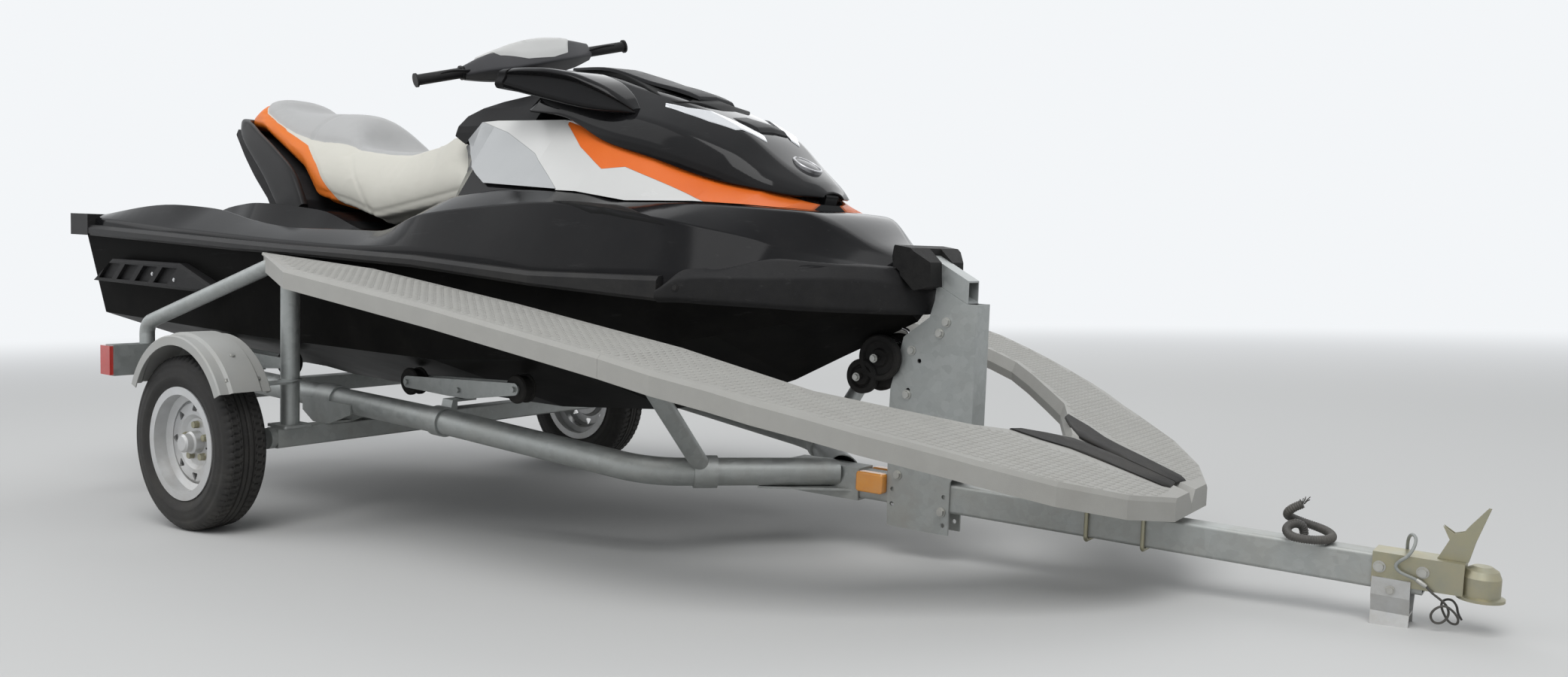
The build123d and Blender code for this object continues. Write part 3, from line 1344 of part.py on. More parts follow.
grip_inner = bar_half_span - grip_length
with BuildPart() as grips:
    with BuildSketch(Plane.XZ.offset(-bar_half_span)):
        with Locations((steer_x, steer_z)):
            Circle(grip_radius)
            Circle(bar_radius + seat_gap, mode=Mode.SUBTRACT)
    extrude(amount=grip_length)
    with BuildSketch(Plane.XZ.offset(-bar_half_span - seat_gap - 6)):
        with Locations((steer_x, steer_z)):
            Circle(grip_radius + 5)
    extrude(amount=6)
    with BuildSketch(Plane.XZ.offset(-bar_half_span - seat_gap)):
        with Locations((steer_x, steer_z)):
            Circle(grip_radius)
            Circle(bar_radius + seat_gap, mode=Mode.SUBTRACT)
    extrude(amount=10)
    with BuildSketch(Plane.XZ.offset(-grip_inner - 6)):
        with Locations((steer_x, steer_z)):
            Circle(grip_radius + 6)
            Circle(bar_radius + seat_gap, mode=Mode.SUBTRACT)
    extrude(amount=6)
    both_sides()
keep(grips.part.rotate(steering_axis, -steer_now), "grips")

# Padded cover over the middle of the handlebar; the columns are half width, then the section's points
# forward of the bar and above it, in the leaned frame
cover_rows = [
    (grip_inner - 4, [(-26, -22), (-30, 4), (-16, 24), (14, 24), (30, 6), (26, -20)]),
    (150, [(-46, -34), (-54, 8), (-30, 46), (30, 44), (66, 10), (58, -30)]),
    (62, [(-66, -52), (-78, 20), (-48, 80), (40, 66), (96, 18), (88, -44)]),
    (0, [(-72, -56), (-84, 24), (-52, 88), (44, 72), (102, 20), (94, -48)]),
]
with BuildPart() as handlebar_cover:
    for y, points in cover_rows + [(-y, points) for y, points in cover_rows[-2::-1]]:
        with BuildSketch(Plane((steer_x, y, steer_z), x_dir=(cos(rake), 0, sin(rake)), z_dir=(0, -1, 0))):
            Polygon(*points, align=None)
    loft(ruled=True)
    with BuildSketch(Plane.XZ.offset(-grip_inner)):
        with Locations((steer_x, steer_z)):
            Circle(bar_radius + seat_gap)
    extrude(amount=2 * grip_inner, mode=Mode.SUBTRACT)
    with BuildSketch(steer_plane.offset(-100)):
        Circle(column_radius + seat_gap)
    extrude(amount=100 + column_top + seat_gap, mode=Mode.SUBTRACT)
keep(handlebar_cover.part.rotate(steering_axis, -steer_now), "handlebar_cover")

# Seat: one long cushion on a low plinth, cut from its side outline and its front outline
seat_outline = [
    *seat_front, (14, 946), (-115, 983), (-337, 1026), (-428, 1133), (-700, 1285), (-1040, 1302),
    (-1031, 1349), (-960, 1385), (-804, 1402), (-578, 1345), (-423, 1337), (-304, 1336), (-150, 1275),
    (44, 1228), (280, 1246),
]
plinth_half = 212.0
with BuildPart() as seat:
    with BuildSketch(Plane.XZ.offset(-seat_half_width)):
        Polygon(*seat_outline, align=None)
    extrude(amount=2 * seat_half_width)
    with BuildSketch(Plane.YZ.offset(-1100)):
        Polygon(
            *whole([(seat_half_width - 20, 900), (seat_half_width, 1060), (seat_half_width - 6, 1180),
                    (196, 1290), (140, 1404)]), align=None,
        )
    extrude(amount=1800, mode=Mode.INTERSECT)
    with BuildSketch(Plane.XZ.offset(-plinth_half)):
        plinth = [(x, deck_middle(x) + seat_gap) for x in (-400, -233, 14, 372, 478)]
        Polygon(*plinth, (478, 1040), (14, 960), (-115, 1000), (-337, 1045), (-400, 1100), align=None)
    extrude(amount=2 * plinth_half)
keep(seat.part, "seat")

# Fairing round the rear of the seat, ending in the passenger's grab handle
fairing_front = -356.0
with BuildPart() as grab_handle:
    with BuildSketch(Plane.XZ.offset(-300)):
        Polygon(
            (fairing_front, deck_middle(fairing_front) + seat_gap), (-405, 1000 + 12), (-405, 1060),
            (-436, 1130), (-704, 1281), (-1046, 1298), (-1040, 1356), (-1130, 1352), (-1157, 1340),
            (-1120, 1268), (-900, 1140), (-770, 1052), (-700, deck_middle(-700) + 6),
            (-540, deck_middle(-540) + seat_gap), align=None,
        )
    extrude(amount=600)
    with BuildSketch(Plane.YZ.offset(-1200)):
        Polygon(*whole([(286, 990), (262, 1120), (240, 1250), (214, 1362)]), align=None)
    extrude(amount=900, mode=Mode.INTERSECT)
    with BuildSketch(Plane.XY.offset(1240)):
        with Locations((-1100, 0)):
            RectangleRounded(60, 300, 20)
    extrude(amount=200, mode=Mode.SUBTRACT)
    add(seat.part, mode=Mode.SUBTRACT)
keep(grab_handle.part, "grab_handle")

# Jet pump: flanged housing with its outlet cone, and the ears that carry the steering nozzle
pump_axis = Axis((0, 0, pump_z), (1, 0, 0))
outlet_x = -1050.0
nozzle_front_radius = 76.0
nozzle_wall = 6.0
ear_gap = nozzle_front_radius + moving_gap
with BuildPart() as jet_pump:
    with BuildSketch(Plane.XZ):
        Polygon(
            (tunnel_front_x - seat_gap, pump_z + pump_bore_radius),
            (tunnel_front_x - seat_gap, pump_z + tunnel_radius - 3),
            (tunnel_front_x - 12, pump_z + tunnel_radius - 3), (tunnel_front_x - 12, pump_z + pump_radius),
            (-945, pump_z + pump_radius), (-1005, pump_z + 56), (outlet_x, pump_z + 50),
            (outlet_x, pump_z + 44), (-1005, pump_z + 50), (-950, pump_z + pump_bore_radius), align=None,
        )
    revolve(axis=pump_axis)
    for side in (1, -1):
        with BuildSketch(Plane.XZ.offset(-16)):
            Polygon(
                (-925, pump_z + side * (pump_radius - 4)), (-925, pump_z + side * (pump_radius + 8)),
                (nozzle_x - 12, pump_z + side * (ear_gap + 8)), (nozzle_x - 12, pump_z + side * ear_gap),
                (nozzle_x + 26, pump_z + side * ear_gap), (-960, pump_z + side * (pump_radius - 6)),
                align=None,
            )
        extrude(amount=32)
        with BuildSketch(Plane.XY.offset(pump_z + (nozzle_front_radius - 12 if side > 0 else -ear_gap - 4))):
            with Locations((nozzle_x, 0)):
                Circle(6)
        extrude(amount=ear_gap + 16 - nozzle_front_radius)
keep(jet_pump.part, "jet_pump")

# Impeller: hub, shaft forward to the engine, and four twisted blades
blade_rear_x = -880.0
blade_front_x = -810.0
blade_tip = pump_bore_radius - moving_gap
blade_twist = 48.0
with BuildPart() as impeller:
    with BuildSketch(Plane.XZ):
        Polygon(
            (blade_rear_x - 34, pump_z), (blade_rear_x - 28, pump_z + 14), (blade_rear_x, pump_z + 28),
            (blade_front_x, pump_z + 28), (blade_front_x + 20, pump_z + shaft_radius),
            (-engine_half[0] - 1, pump_z + shaft_radius), (-engine_half[0] - 1, pump_z), align=None,
        )
    revolve(axis=pump_axis)
    for turn in (0, 90, 180, 270):
        for x, extra in ((blade_rear_x, 0), (blade_front_x, blade_twist)):
            around = radians(turn + extra)
            blade_plane = Plane((x, 0, pump_z), x_dir=(0, cos(around), sin(around)), z_dir=(1, 0, 0))
            with BuildSketch(blade_plane):
                Polygon((20, -2.5), (blade_tip, -2), (blade_tip, 2), (20, 2.5), align=None)
        loft(ruled=True)
keep(impeller.part, "impeller")

# Steering nozzle, turned with the handlebar, and the reverse bucket that it carries
nozzle_turn = steer_now * nozzle_ratio
nozzle_axis = Axis((nozzle_x, 0, pump_z), (0, 0, 1))
nozzle_end_x = -1190.0
bucket_x = -1112.0
bucket_radius = 120.0
bucket_plate = 5.0
bucket_arm_y = 84.0
with BuildPart() as jet_nozzle:
    with BuildSketch(Plane.XZ):
        Polygon(
            (nozzle_x + 23, pump_z + nozzle_front_radius - nozzle_wall),
            (nozzle_x + 23, pump_z + nozzle_front_radius), (nozzle_x - 16, pump_z + nozzle_front_radius),
            (nozzle_end_x, pump_z + nozzle_radius), (nozzle_end_x, pump_z + nozzle_radius - nozzle_wall),
            (nozzle_x - 16, pump_z + nozzle_front_radius - nozzle_wall), align=None,
        )
    revolve(axis=pump_axis)
    with BuildSketch(Plane.XY.offset(pump_z - 120)):
        with Locations((nozzle_x, 0)):
            Circle(6 + slip_gap)
    extrude(amount=240, mode=Mode.SUBTRACT)
    with BuildSketch(Plane.XZ.offset(-bucket_arm_y - bucket_plate - 3)):
        with Locations((bucket_x, pump_z)):
            Circle(7)
    extrude(amount=bucket_arm_y + bucket_plate + 3 - nozzle_radius - 8)
    with BuildSketch(Plane.XZ.offset(nozzle_radius + 8)):
        with Locations((bucket_x, pump_z)):
            Circle(7)
    extrude(amount=bucket_arm_y + bucket_plate + 3 - nozzle_radius - 8)
keep(jet_nozzle.part.rotate(nozzle_axis, nozzle_turn), "jet_nozzle")

bucket_from = radians(52)
bucket_to = radians(112)
with BuildPart() as reverse_bucket:
    outer = bucket_radius + bucket_plate
    for plate_y in (bucket_arm_y + bucket_plate, -bucket_arm_y):
        with BuildSketch(Plane.XZ.offset(-plate_y)):
            with BuildLine():
                hub_side = Line(
                    (bucket_x + 14, pump_z - 6), (bucket_x - outer * cos(bucket_to), pump_z + outer * sin(bucket_to))
                )
                rim_arc = ThreePointArc(
                    hub_side @ 1,
                    (bucket_x - outer * cos((bucket_from + bucket_to) / 2),
                     pump_z + outer * sin((bucket_from + bucket_to) / 2)),
                    (bucket_x - outer * cos(bucket_from), pump_z + outer * sin(bucket_from)),
                )
                rear_side = Line(rim_arc @ 1, (bucket_x - 14, pump_z - 10))
                Line(rear_side @ 1, hub_side @ 0)
            make_face()
            with Locations((bucket_x, pump_z)):
                Circle(7 + slip_gap, mode=Mode.SUBTRACT)
        extrude(amount=bucket_plate)
    shell_plane = Plane(
        (bucket_x, 0, pump_z), x_dir=(-cos(bucket_from), 0, sin(bucket_from)),
        z_dir=(sin(bucket_from), 0, cos(bucket_from)),
    )
    with BuildSketch(shell_plane):
        with Locations((bucket_radius + bucket_plate / 2, 0)):
            Rectangle(bucket_plate, 2 * bucket_arm_y + 2)
    revolve(axis=Axis((bucket_x, 0, pump_z), (0, 1, 0)), revolution_arc=60)
keep(reverse_bucket.part.rotate(nozzle_axis, nozzle_turn), "reverse_bucket")

# Ride plate under the pump and grate across the water intake
plate_half = tunnel_radius - seat_gap
plate_rear_x = hull_stern_x - 10
plate_front_x = tunnel_front_x - 35
with BuildPart() as ride_plate:
    for x in (plate_rear_x, plate_front_x):
        with BuildSketch(Plane.YZ.offset(x)):
            Polygon(
                (-plate_half, hull_bottom(x, plate_half)), (0, hull_bottom(x, 0)),
                (plate_half, hull_bottom(x, plate_half)), (plate_half, hull_bottom(x, plate_half) + 8),
                (0, hull_bottom(x, 0) + 8), (-plate_half, hull_bottom(x, plate_half) + 8), align=None,
            )
    loft(ruled=True)
    for side_y in (64, -60):
        with BuildSketch(Plane.XZ.offset(-side_y)):
            Polygon(
                (plate_rear_x + 10, hull_bottom(plate_rear_x, 62) + 3), (plate_rear_x + 30, 404),
                (plate_front_x - 40, 400), (plate_front_x - 10, hull_bottom(plate_front_x, 62) + 3), align=None,
            )
        extrude(amount=4)
keep(ride_plate.part, "ride_plate")

with BuildPart() as intake_grate:
    with BuildSketch(Plane.XY.offset(409)):
        for x in (-706, -464):
            with Locations((x, 0)):
                Rectangle(12, 2 * (intake_half - seat_gap))
        for y in (-60, -20, 20, 60):
            with Locations((-585, y)):
                Rectangle(240, 10)
    extrude(amount=12)
    add(hull.part, mode=Mode.SUBTRACT)
keep(intake_grate.part, "intake_grate")

# Towing eyes: bent rods at the bow stem and at the stern
with BuildPart() as towing_eyes:
    for eye in (
        [(1930, 0, 690), (1975, 0, 676), (1990, 0, 712), (1965, 0, 720)],
        [(hull_stern_x, 230, 820), (hull_stern_x - 40, 230, 820), (hull_stern_x - 40, 230, 780),
         (hull_stern_x, 230, 780)],
        [(hull_stern_x, -230, 820), (hull_stern_x - 40, -230, 820), (hull_stern_x - 40, -230, 780),
         (hull_stern_x, -230, 780)],
    ):
        with BuildLine() as eye_route:
            FilletPolyline(*eye, radius=12)
        with BuildSketch(Plane(eye_route.line @ 0, z_dir=eye_route.line % 0)):
            Circle(5)
        sweep()
    add(hull.part, mode=Mode.SUBTRACT)
keep(towing_eyes.part, "towing_eyes")

# Parked: lean everything nose down about the wheels, set the middle of its length at X 0, and write it
wheel_line = Axis((0, 0, tyre_radius), (0, 1, 0))
parked = [(piece.label, piece.rotate(wheel_line, nose_down)) for piece in pieces]
boxes = [piece.bounding_box() for label, piece in parked]
middle_x = (min(box.min.X for box in boxes) + max(box.max.X for box in boxes)) / 2
print("middle_x", round(middle_x, 4))
for label, piece in parked:
    piece = piece.moved(Location((-middle_x, 0, 0)))
    piece.label = label
    export_step(piece, f"parts/{label}.step")
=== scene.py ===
"""Personal watercraft on its road trailer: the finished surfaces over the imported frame.

Sizes are in millimetres in the trailer's level frame (X forward, Y to port, Z up, from the ground under the
wheels' line) and go through parked() into the row frame.
"""

import bmesh
import bpy
import numpy as np
from mathutils import Matrix


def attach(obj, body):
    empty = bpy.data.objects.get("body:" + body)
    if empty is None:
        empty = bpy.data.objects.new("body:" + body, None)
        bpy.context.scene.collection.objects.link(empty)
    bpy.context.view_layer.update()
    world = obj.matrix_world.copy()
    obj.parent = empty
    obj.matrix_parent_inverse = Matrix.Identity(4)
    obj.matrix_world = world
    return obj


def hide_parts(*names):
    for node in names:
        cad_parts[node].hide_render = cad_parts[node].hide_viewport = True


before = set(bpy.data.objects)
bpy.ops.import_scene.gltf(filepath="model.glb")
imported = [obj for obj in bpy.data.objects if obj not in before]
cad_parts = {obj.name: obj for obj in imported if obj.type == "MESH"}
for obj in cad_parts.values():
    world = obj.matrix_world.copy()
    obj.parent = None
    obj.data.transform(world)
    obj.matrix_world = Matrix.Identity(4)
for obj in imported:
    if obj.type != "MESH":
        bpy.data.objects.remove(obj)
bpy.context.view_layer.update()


# Studio: a flat pale floor that fades into an even pale surround, under three large soft lamps. The camera
# stands where the photograph was taken, low off the starboard bow.
def unit(vectors):
    """The vectors divided by their lengths."""
    return vectors / np.linalg.norm(vectors, axis=-1, keepdims=True)


def stood(right, up, back, place):
    """Matrix of a thing that stands at a place, from its own right, up and back directions."""
    return Matrix((*zip(right, up, back, place), (0, 0, 0, 1)))


def place_node(tree, kind, links=(), **settings):
    """A node of the kind with its settings; links are (input socket, output socket or number)."""
    node = tree.nodes.new(kind)
    for key, value in settings.items():
        setattr(node, key, value)
    for socket, source in links:
        if isinstance(source, (int, float, tuple)):
            node.inputs[socket].default_value = source
        else:
            tree.links.new(source, node.inputs[socket])
    return node


def calc(tree, operation, a, b=0.0, c=0.0, clamp=False):
    """Output of a math node on sockets or numbers."""
    links = [(0, a), (1, b), (2, c)]
    return place_node(tree, "ShaderNodeMath", links, operation=operation, use_clamp=clamp).outputs[0]


def finish_with(tree, end, share, near, far):
    """Lead the mix of two shaders by a share into the tree's end node."""
    both = place_node(tree, "ShaderNodeMixShader", [(0, share), (1, near.outputs[0]), (2, far.outputs[0])])
    tree.links.new(both.outputs[0], tree.nodes[end].inputs["Surface"])


scene = bpy.context.scene
scene.view_settings.view_transform = "Standard"
camera_data = bpy.data.cameras.new("camera")
camera_data.sensor_width = 36.0
camera_data.lens = 28.254
camera_data.shift_x = -0.01761
camera_data.clip_end = 200.0
camera = bpy.data.objects.new("camera", camera_data)
camera.matrix_world = stood((0.8275094, 0.5614041, -0.0073212), (-0.0220210, 0.0454830, 0.9987224),
                            (0.5610198, -0.8262909, 0.0500003), (2.55844, -2.8624, 0.7517))
scene.collection.objects.link(camera)
scene.camera = camera

for lamp_name, place, aim_height, size, power in (
    ("key_lamp", (3.0, -4.5, 8.0), 0.6, 6.0, 420.0),
    ("fill_lamp", (-6.0, -5.0, 6.0), 0.6, 8.0, 170.0),
    ("back_lamp", (-2.0, 7.0, 7.0), 0.8, 9.0, 220.0),
):
    lamp_data = bpy.data.lights.new(lamp_name, "AREA")
    lamp_data.size = size
    lamp_data.energy = power
    lamp = bpy.data.objects.new(lamp_name, lamp_data)
    away = unit(np.array(place) - (0.0, 0.0, aim_height))
    side = unit(np.cross((0.0, 0.0, 1.0), away))
    lamp.matrix_world = stood(side, np.cross(away, side), away, place)
    scene.collection.objects.link(lamp)

far_tone = (0.90, 0.92, 0.94, 1)
world = bpy.data.worlds.new("surround")
world.use_nodes = True
scene.world = world
sky = world.node_tree
sky_light = sky.nodes["Background"]
sky_light.inputs["Color"].default_value = (0.93, 0.96, 1.0, 1)
sky_light.inputs["Strength"].default_value = 0.5
ray = place_node(sky, "ShaderNodeLightPath")
seen = calc(sky, "MAXIMUM", ray.outputs["Is Camera Ray"], ray.outputs["Is Glossy Ray"])
seen = calc(sky, "MAXIMUM", seen, ray.outputs["Is Transmission Ray"])
finish_with(sky, "World Output", seen, sky_light, place_node(sky, "ShaderNodeBackground", [("Color", far_tone)]))


def surface(name, grid, around=False, ends=False, solid=False):
    """Mesh of a grid of points: each cell of the grid is one face. around joins the last column to the
    first, ends closes the first and last row with a fan to the row's mean point, and solid merges what
    coincides and turns the faces of the closed shape outwards."""
    rows, columns = grid.shape[:2]
    index = np.arange(rows * columns).reshape(rows, columns)
    if around:
        index = np.concatenate([index, index[:, :1]], axis=1)
    faces = np.stack([index[:-1, :-1], index[:-1, 1:], index[1:, 1:], index[1:, :-1]], -1).reshape(-1, 4).tolist()
    points = grid.reshape(-1, 3)
    if ends:
        points = np.concatenate([points, grid[:1].mean(1), grid[-1:].mean(1)])
        first, last = rows * columns, rows * columns + 1
        faces += np.stack([index[0, 1:], index[0, :-1], np.full(index.shape[1] - 1, first)], -1).tolist()
        faces += np.stack([index[-1, :-1], index[-1, 1:], np.full(index.shape[1] - 1, last)], -1).tolist()
    mesh = bpy.data.meshes.new(name)
    mesh.from_pydata(points.tolist(), [], faces)
    mesh.update()
    if solid:
        build = bmesh.new()
        build.from_mesh(mesh)
        bmesh.ops.remove_doubles(build, verts=build.verts, dist=1e-5)
        bmesh.ops.recalc_face_normals(build, faces=build.faces)
        build.to_mesh(mesh)
        build.free()
    return mesh


floor_radius, fade_start, fade_end = 60.0, 4.5, 16.0
floor_out = np.linspace(0, 1, 24)[:, None] ** 2 * floor_radius
floor_turn = np.linspace(0, 2 * np.pi, 48, endpoint=False)[None]
floor_grid = np.stack([floor_out * np.cos(floor_turn), floor_out * np.sin(floor_turn),
                       0 * floor_out * floor_turn], -1)
floor = bpy.data.objects.new("studio_floor", surface("studio_floor", floor_grid[::-1], around=True))
scene.collection.objects.link(floor)
floor_paint = bpy.data.materials.new("studio_floor")
floor_paint.use_nodes = True
floor_tree = floor_paint.node_tree
floor_shader = floor_tree.nodes["Principled BSDF"]
floor_shader.inputs["Base Color"].default_value = (0.62, 0.62, 0.61, 1)
floor_shader.inputs["Roughness"].default_value = 0.9
floor_shader.inputs["Specular IOR Level"].default_value = 0.2
where = place_node(floor_tree, "ShaderNodeTexCoord").outputs["Object"]
far_off = place_node(floor_tree, "ShaderNodeVectorMath", [(0, where)], operation="LENGTH").outputs["Value"]
fade = place_node(floor_tree, "ShaderNodeMapRange", [("Value", far_off), ("From Min", fade_start),
                                                     ("From Max", fade_end)], interpolation_type="SMOOTHSTEP")
finish_with(floor_tree, "Material Output", fade.outputs[0], floor_shader,
            place_node(floor_tree, "ShaderNodeEmission", [("Color", far_tone)]))
floor.data.materials.append(floor_paint)


# Shared effects on the surfaces: cloudy mottle, road dust that gathers low down, fine scratches, and the
# crystal pattern of hot-dip zinc. Each is one group, placed in each finish with its own values.
def new_group(name, inputs, output):
    """A shader node group with the named numbers and one output: its tree, its given sockets, the Object
    coordinates and the socket for its result."""
    tree = bpy.data.node_groups.new(name, "ShaderNodeTree")
    for label, value in inputs:
        tree.interface.new_socket(label, in_out="INPUT", socket_type="NodeSocketFloat").default_value = value
    tree.interface.new_socket(output, in_out="OUTPUT", socket_type="NodeSocketFloat")
    given, result = tree.nodes.new("NodeGroupInput"), tree.nodes.new("NodeGroupOutput")
    return tree, given.outputs, place_node(tree, "ShaderNodeTexCoord").outputs["Object"], result.inputs[output]


def noise(tree, where, scale, detail, roughness):
    """Output of a noise node."""
    return place_node(tree, "ShaderNodeTexNoise", [("Vector", where), ("Scale", scale), ("Detail", detail),
                                                   ("Roughness", roughness)]).outputs["Fac"]


mottle, given, where, result = new_group("mottle", [("Scale", 20.0), ("Contrast", 1.0)], "Value")
clouds = noise(mottle, where, given["Scale"], 5.0, 0.6)
spread = calc(mottle, "MULTIPLY", calc(mottle, "SUBTRACT", clouds, 0.5), given["Contrast"])
mottle.links.new(calc(mottle, "ADD", spread, 0.5, clamp=True), result)

dust, given, where, result = new_group("road_dust", [("Amount", 0.3), ("Reach", 0.6)], "Mask")
height = place_node(dust, "ShaderNodeSeparateXYZ", [(0, where)]).outputs["Z"]
patches = noise(dust, where, 9.0, 6.0, 0.7)
low_down = calc(dust, "SUBTRACT", 1.0, calc(dust, "DIVIDE", height, given["Reach"]), clamp=True)
gathered = calc(dust, "MULTIPLY", calc(dust, "ADD", low_down, 0.25), calc(dust, "MULTIPLY", patches, patches))
dust.links.new(calc(dust, "MULTIPLY", gathered, calc(dust, "MULTIPLY", given["Amount"], 3.0), clamp=True), result)

scratches, given, where, result = new_group("scratches", [("Amount", 0.5)], "Mask")
stretched = place_node(scratches, "ShaderNodeMapping", [("Vector", where), ("Scale", (0.12, 1.0, 1.6)),
                                                        ("Rotation", (0.3, 0.5, 0.2))]).outputs[0]
lines = noise(scratches, stretched, 30.0, 8.0, 0.75)
thin = calc(scratches, "MULTIPLY", calc(scratches, "SUBTRACT", lines, 0.60), 9.0, clamp=True)
scratches.links.new(calc(scratches, "MULTIPLY", thin, given["Amount"], clamp=True), result)

zinc, given, where, result = new_group("zinc_spangle", [("Scale", 60.0)], "Value")
bent = place_node(zinc, "ShaderNodeTexNoise", [("Vector", where), ("Scale", 30.0)]).outputs["Color"]
warped = place_node(zinc, "ShaderNodeVectorMath", [(0, bent), (1, (0.02, 0.02, 0.02)), (2, where)],
                    operation="MULTIPLY_ADD")
cells = place_node(zinc, "ShaderNodeTexVoronoi", [("Vector", warped.outputs[0]), ("Scale", given["Scale"])])
zinc.links.new(place_node(zinc, "ShaderNodeSeparateColor", [(0, cells.outputs["Color"])]).outputs[0], result)


def finish(name, colour, tone, roughness=(0.4, 0.5), metallic=0.0, mottled=(30.0, 1.0), dusty=(0.0, 0.6),
           scratched=0.0, grain=(200.0, 0.0), coat=0.0, spangle=0.0, dust_colour=(0.36, 0.33, 0.28),
           specular=0.5, zones=()):
    """Material that mixes two tones by a mottle of the given scale and contrast, or by zinc crystals of the
    spangle's scale. Dust (its amount, and the metres it reaches up) and scratches lie over them, and the
    surface is rough from the first to the second value and dented by a grain of a scale and strength.
    A zone has its own two tones where the named attribute is above zero."""
    paint = bpy.data.materials.new(name)
    paint.use_nodes = True
    tree = paint.node_tree
    shader = tree.nodes["Principled BSDF"]
    for socket, value in (("Metallic", metallic), ("Coat Weight", coat), ("Coat Roughness", 0.06),
                          ("Specular IOR Level", specular)):
        shader.inputs[socket].default_value = value

    def effect(group, *values):
        node = place_node(tree, "ShaderNodeGroup", node_tree=group)
        for socket, value in zip(node.inputs, values):
            socket.default_value = value
        return node.outputs[0]

    def mix(share, *colours):
        first, second = [(*one, 1) if isinstance(one, tuple) else one for one in colours]
        return place_node(tree, "ShaderNodeMix", [(0, share), (6, first), (7, second)], data_type="RGBA").outputs[2]

    share = calc(tree, "MULTIPLY_ADD", effect(zinc, spangle), 0.6, 0.2) if spangle else effect(mottle, *mottled)
    mixed = mix(share, colour, tone)
    for label, zone_colour, zone_tone in zones:
        edge = place_node(tree, "ShaderNodeAttribute", attribute_name=label).outputs["Fac"]
        inside = place_node(tree, "ShaderNodeMapRange", [(0, edge), (1, -0.5), (2, 0.5)]).outputs[0]
        mixed = mix(inside, mixed, mix(share, zone_colour, zone_tone))
    # Scratches show a paler colour than the finish itself, and dust lies over both.
    pale = tuple(min(1.0, 0.5 * value + 0.22) for value in colour)
    rubbed = mix(effect(scratches, scratched), mixed, pale)
    layer = effect(dust, *dusty)
    tree.links.new(mix(layer, rubbed, dust_colour), shader.inputs["Base Color"])
    rough = place_node(tree, "ShaderNodeMapRange", [(0, share), (3, roughness[0]), (4, roughness[1])]).outputs[0]
    rough = calc(tree, "ADD", rough, calc(tree, "MULTIPLY", layer, 0.4), clamp=True)
    tree.links.new(rough, shader.inputs["Roughness"])
    scale, strength = grain
    if strength:
        dent = place_node(tree, "ShaderNodeBump", [("Height", effect(mottle, scale, 1.6)), ("Strength", strength),
                                                   ("Distance", 0.001)])
        tree.links.new(dent.outputs[0], shader.inputs["Normal"])
    return paint


# Galvanised steel of the trailer: tubes, beam, drawbar, post and brackets, dipped whole after welding, dull
# grey with faint crystals, and dusty low down. The coupler and the clamps are plated a dull yellow.
def paint_nodes(paint, *nodes):
    """Give CAD nodes a finish."""
    for node in nodes:
        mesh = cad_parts[node].data
        mesh.materials.clear()
        mesh.materials.append(paint)


galvanised = finish("hot_dip_zinc", (0.33, 0.35, 0.345), (0.44, 0.46, 0.455), roughness=(0.38, 0.55), metallic=0.7,
                    mottled=(14.0, 1.4), dusty=(0.30, 0.45), scratched=0.25, grain=(90.0, 0.25), spangle=55.0)
paint_nodes(galvanised, "axle_beam", "torsion_arms", "main_tubes", "saddle_brackets", "drawbar", "drawbar_sleeve",
            "light_beam", "guide_posts", "rear_guides", "walkway_struts", "mudguard_stays", "bogie_frames",
            "bogie_brackets", "bow_post", "bow_arm")
bolt_steel = finish("bolt_steel", (0.42, 0.43, 0.42), (0.58, 0.58, 0.55), roughness=(0.3, 0.5), metallic=0.85,
                    mottled=(60.0, 1.5), dusty=(0.35, 0.5), scratched=0.2)
yellow_zinc = finish("yellow_zinc", (0.30, 0.31, 0.24), (0.42, 0.38, 0.24), roughness=(0.28, 0.45), metallic=0.8,
                     mottled=(26.0, 1.6), dusty=(0.3, 0.5), scratched=0.3, grain=(160.0, 0.1))
paint_nodes(yellow_zinc, "coupler", "coupler_lever", "walkway_clamps")

# Road wheels: pressed steel rims in silver paint with five yellow-plated nuts, a dust cap and a valve, and
# radial tyres with three grooves and slanted side blocks. The trailer leans nose down about their line.
LEAN = np.radians(3.1)
WHEEL_RADIUS = 265.0
MIDDLE_X = 1076.5614
CRAFT = "trailer_and_craft"
SIDES = (("left", 1), ("right", -1))


def parked(points):
    """Level millimetres to the row frame in metres: lean nose down about the wheels' line, then shift."""
    x, y, z = np.moveaxis(np.asarray(points, float), -1, 0)
    up = z - WHEEL_RADIUS
    leaned = np.stack([x * np.cos(LEAN) + up * np.sin(LEAN) - MIDDLE_X, y,
                       WHEEL_RADIUS - x * np.sin(LEAN) + up * np.cos(LEAN)], -1)
    return leaned / 1000.0


def show(name, mesh, slot, paint, body=CRAFT, sharp=35.0, wall=0.0, replaces=()):
    """Put a finished mesh in the scene: smooth faces between edges sharper than the angle, a wall's
    thickness inwards if it is a sheet, the body that it rides on and the CAD nodes that it stands for."""
    piece = bpy.data.objects.new(name, mesh)
    scene.collection.objects.link(piece)
    mesh.materials.clear()
    mesh.materials.append(paint)
    mesh.shade_smooth()
    mesh.set_sharp_from_angle(angle=np.radians(sharp))
    if wall:
        sheet = piece.modifiers.new("wall", "SOLIDIFY")
        sheet.thickness = wall / 1000.0
        sheet.offset = -1.0
    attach(piece, body)
    if replaces:
        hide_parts(*replaces)
    return piece


def show_solid(name, grid, *looks, **more):
    """Show a closed grid in level millimetres: its columns run round it and both its ends are closed."""
    return show(name, surface(name, parked(grid), around=True, ends=True, solid=True), *looks, **more)


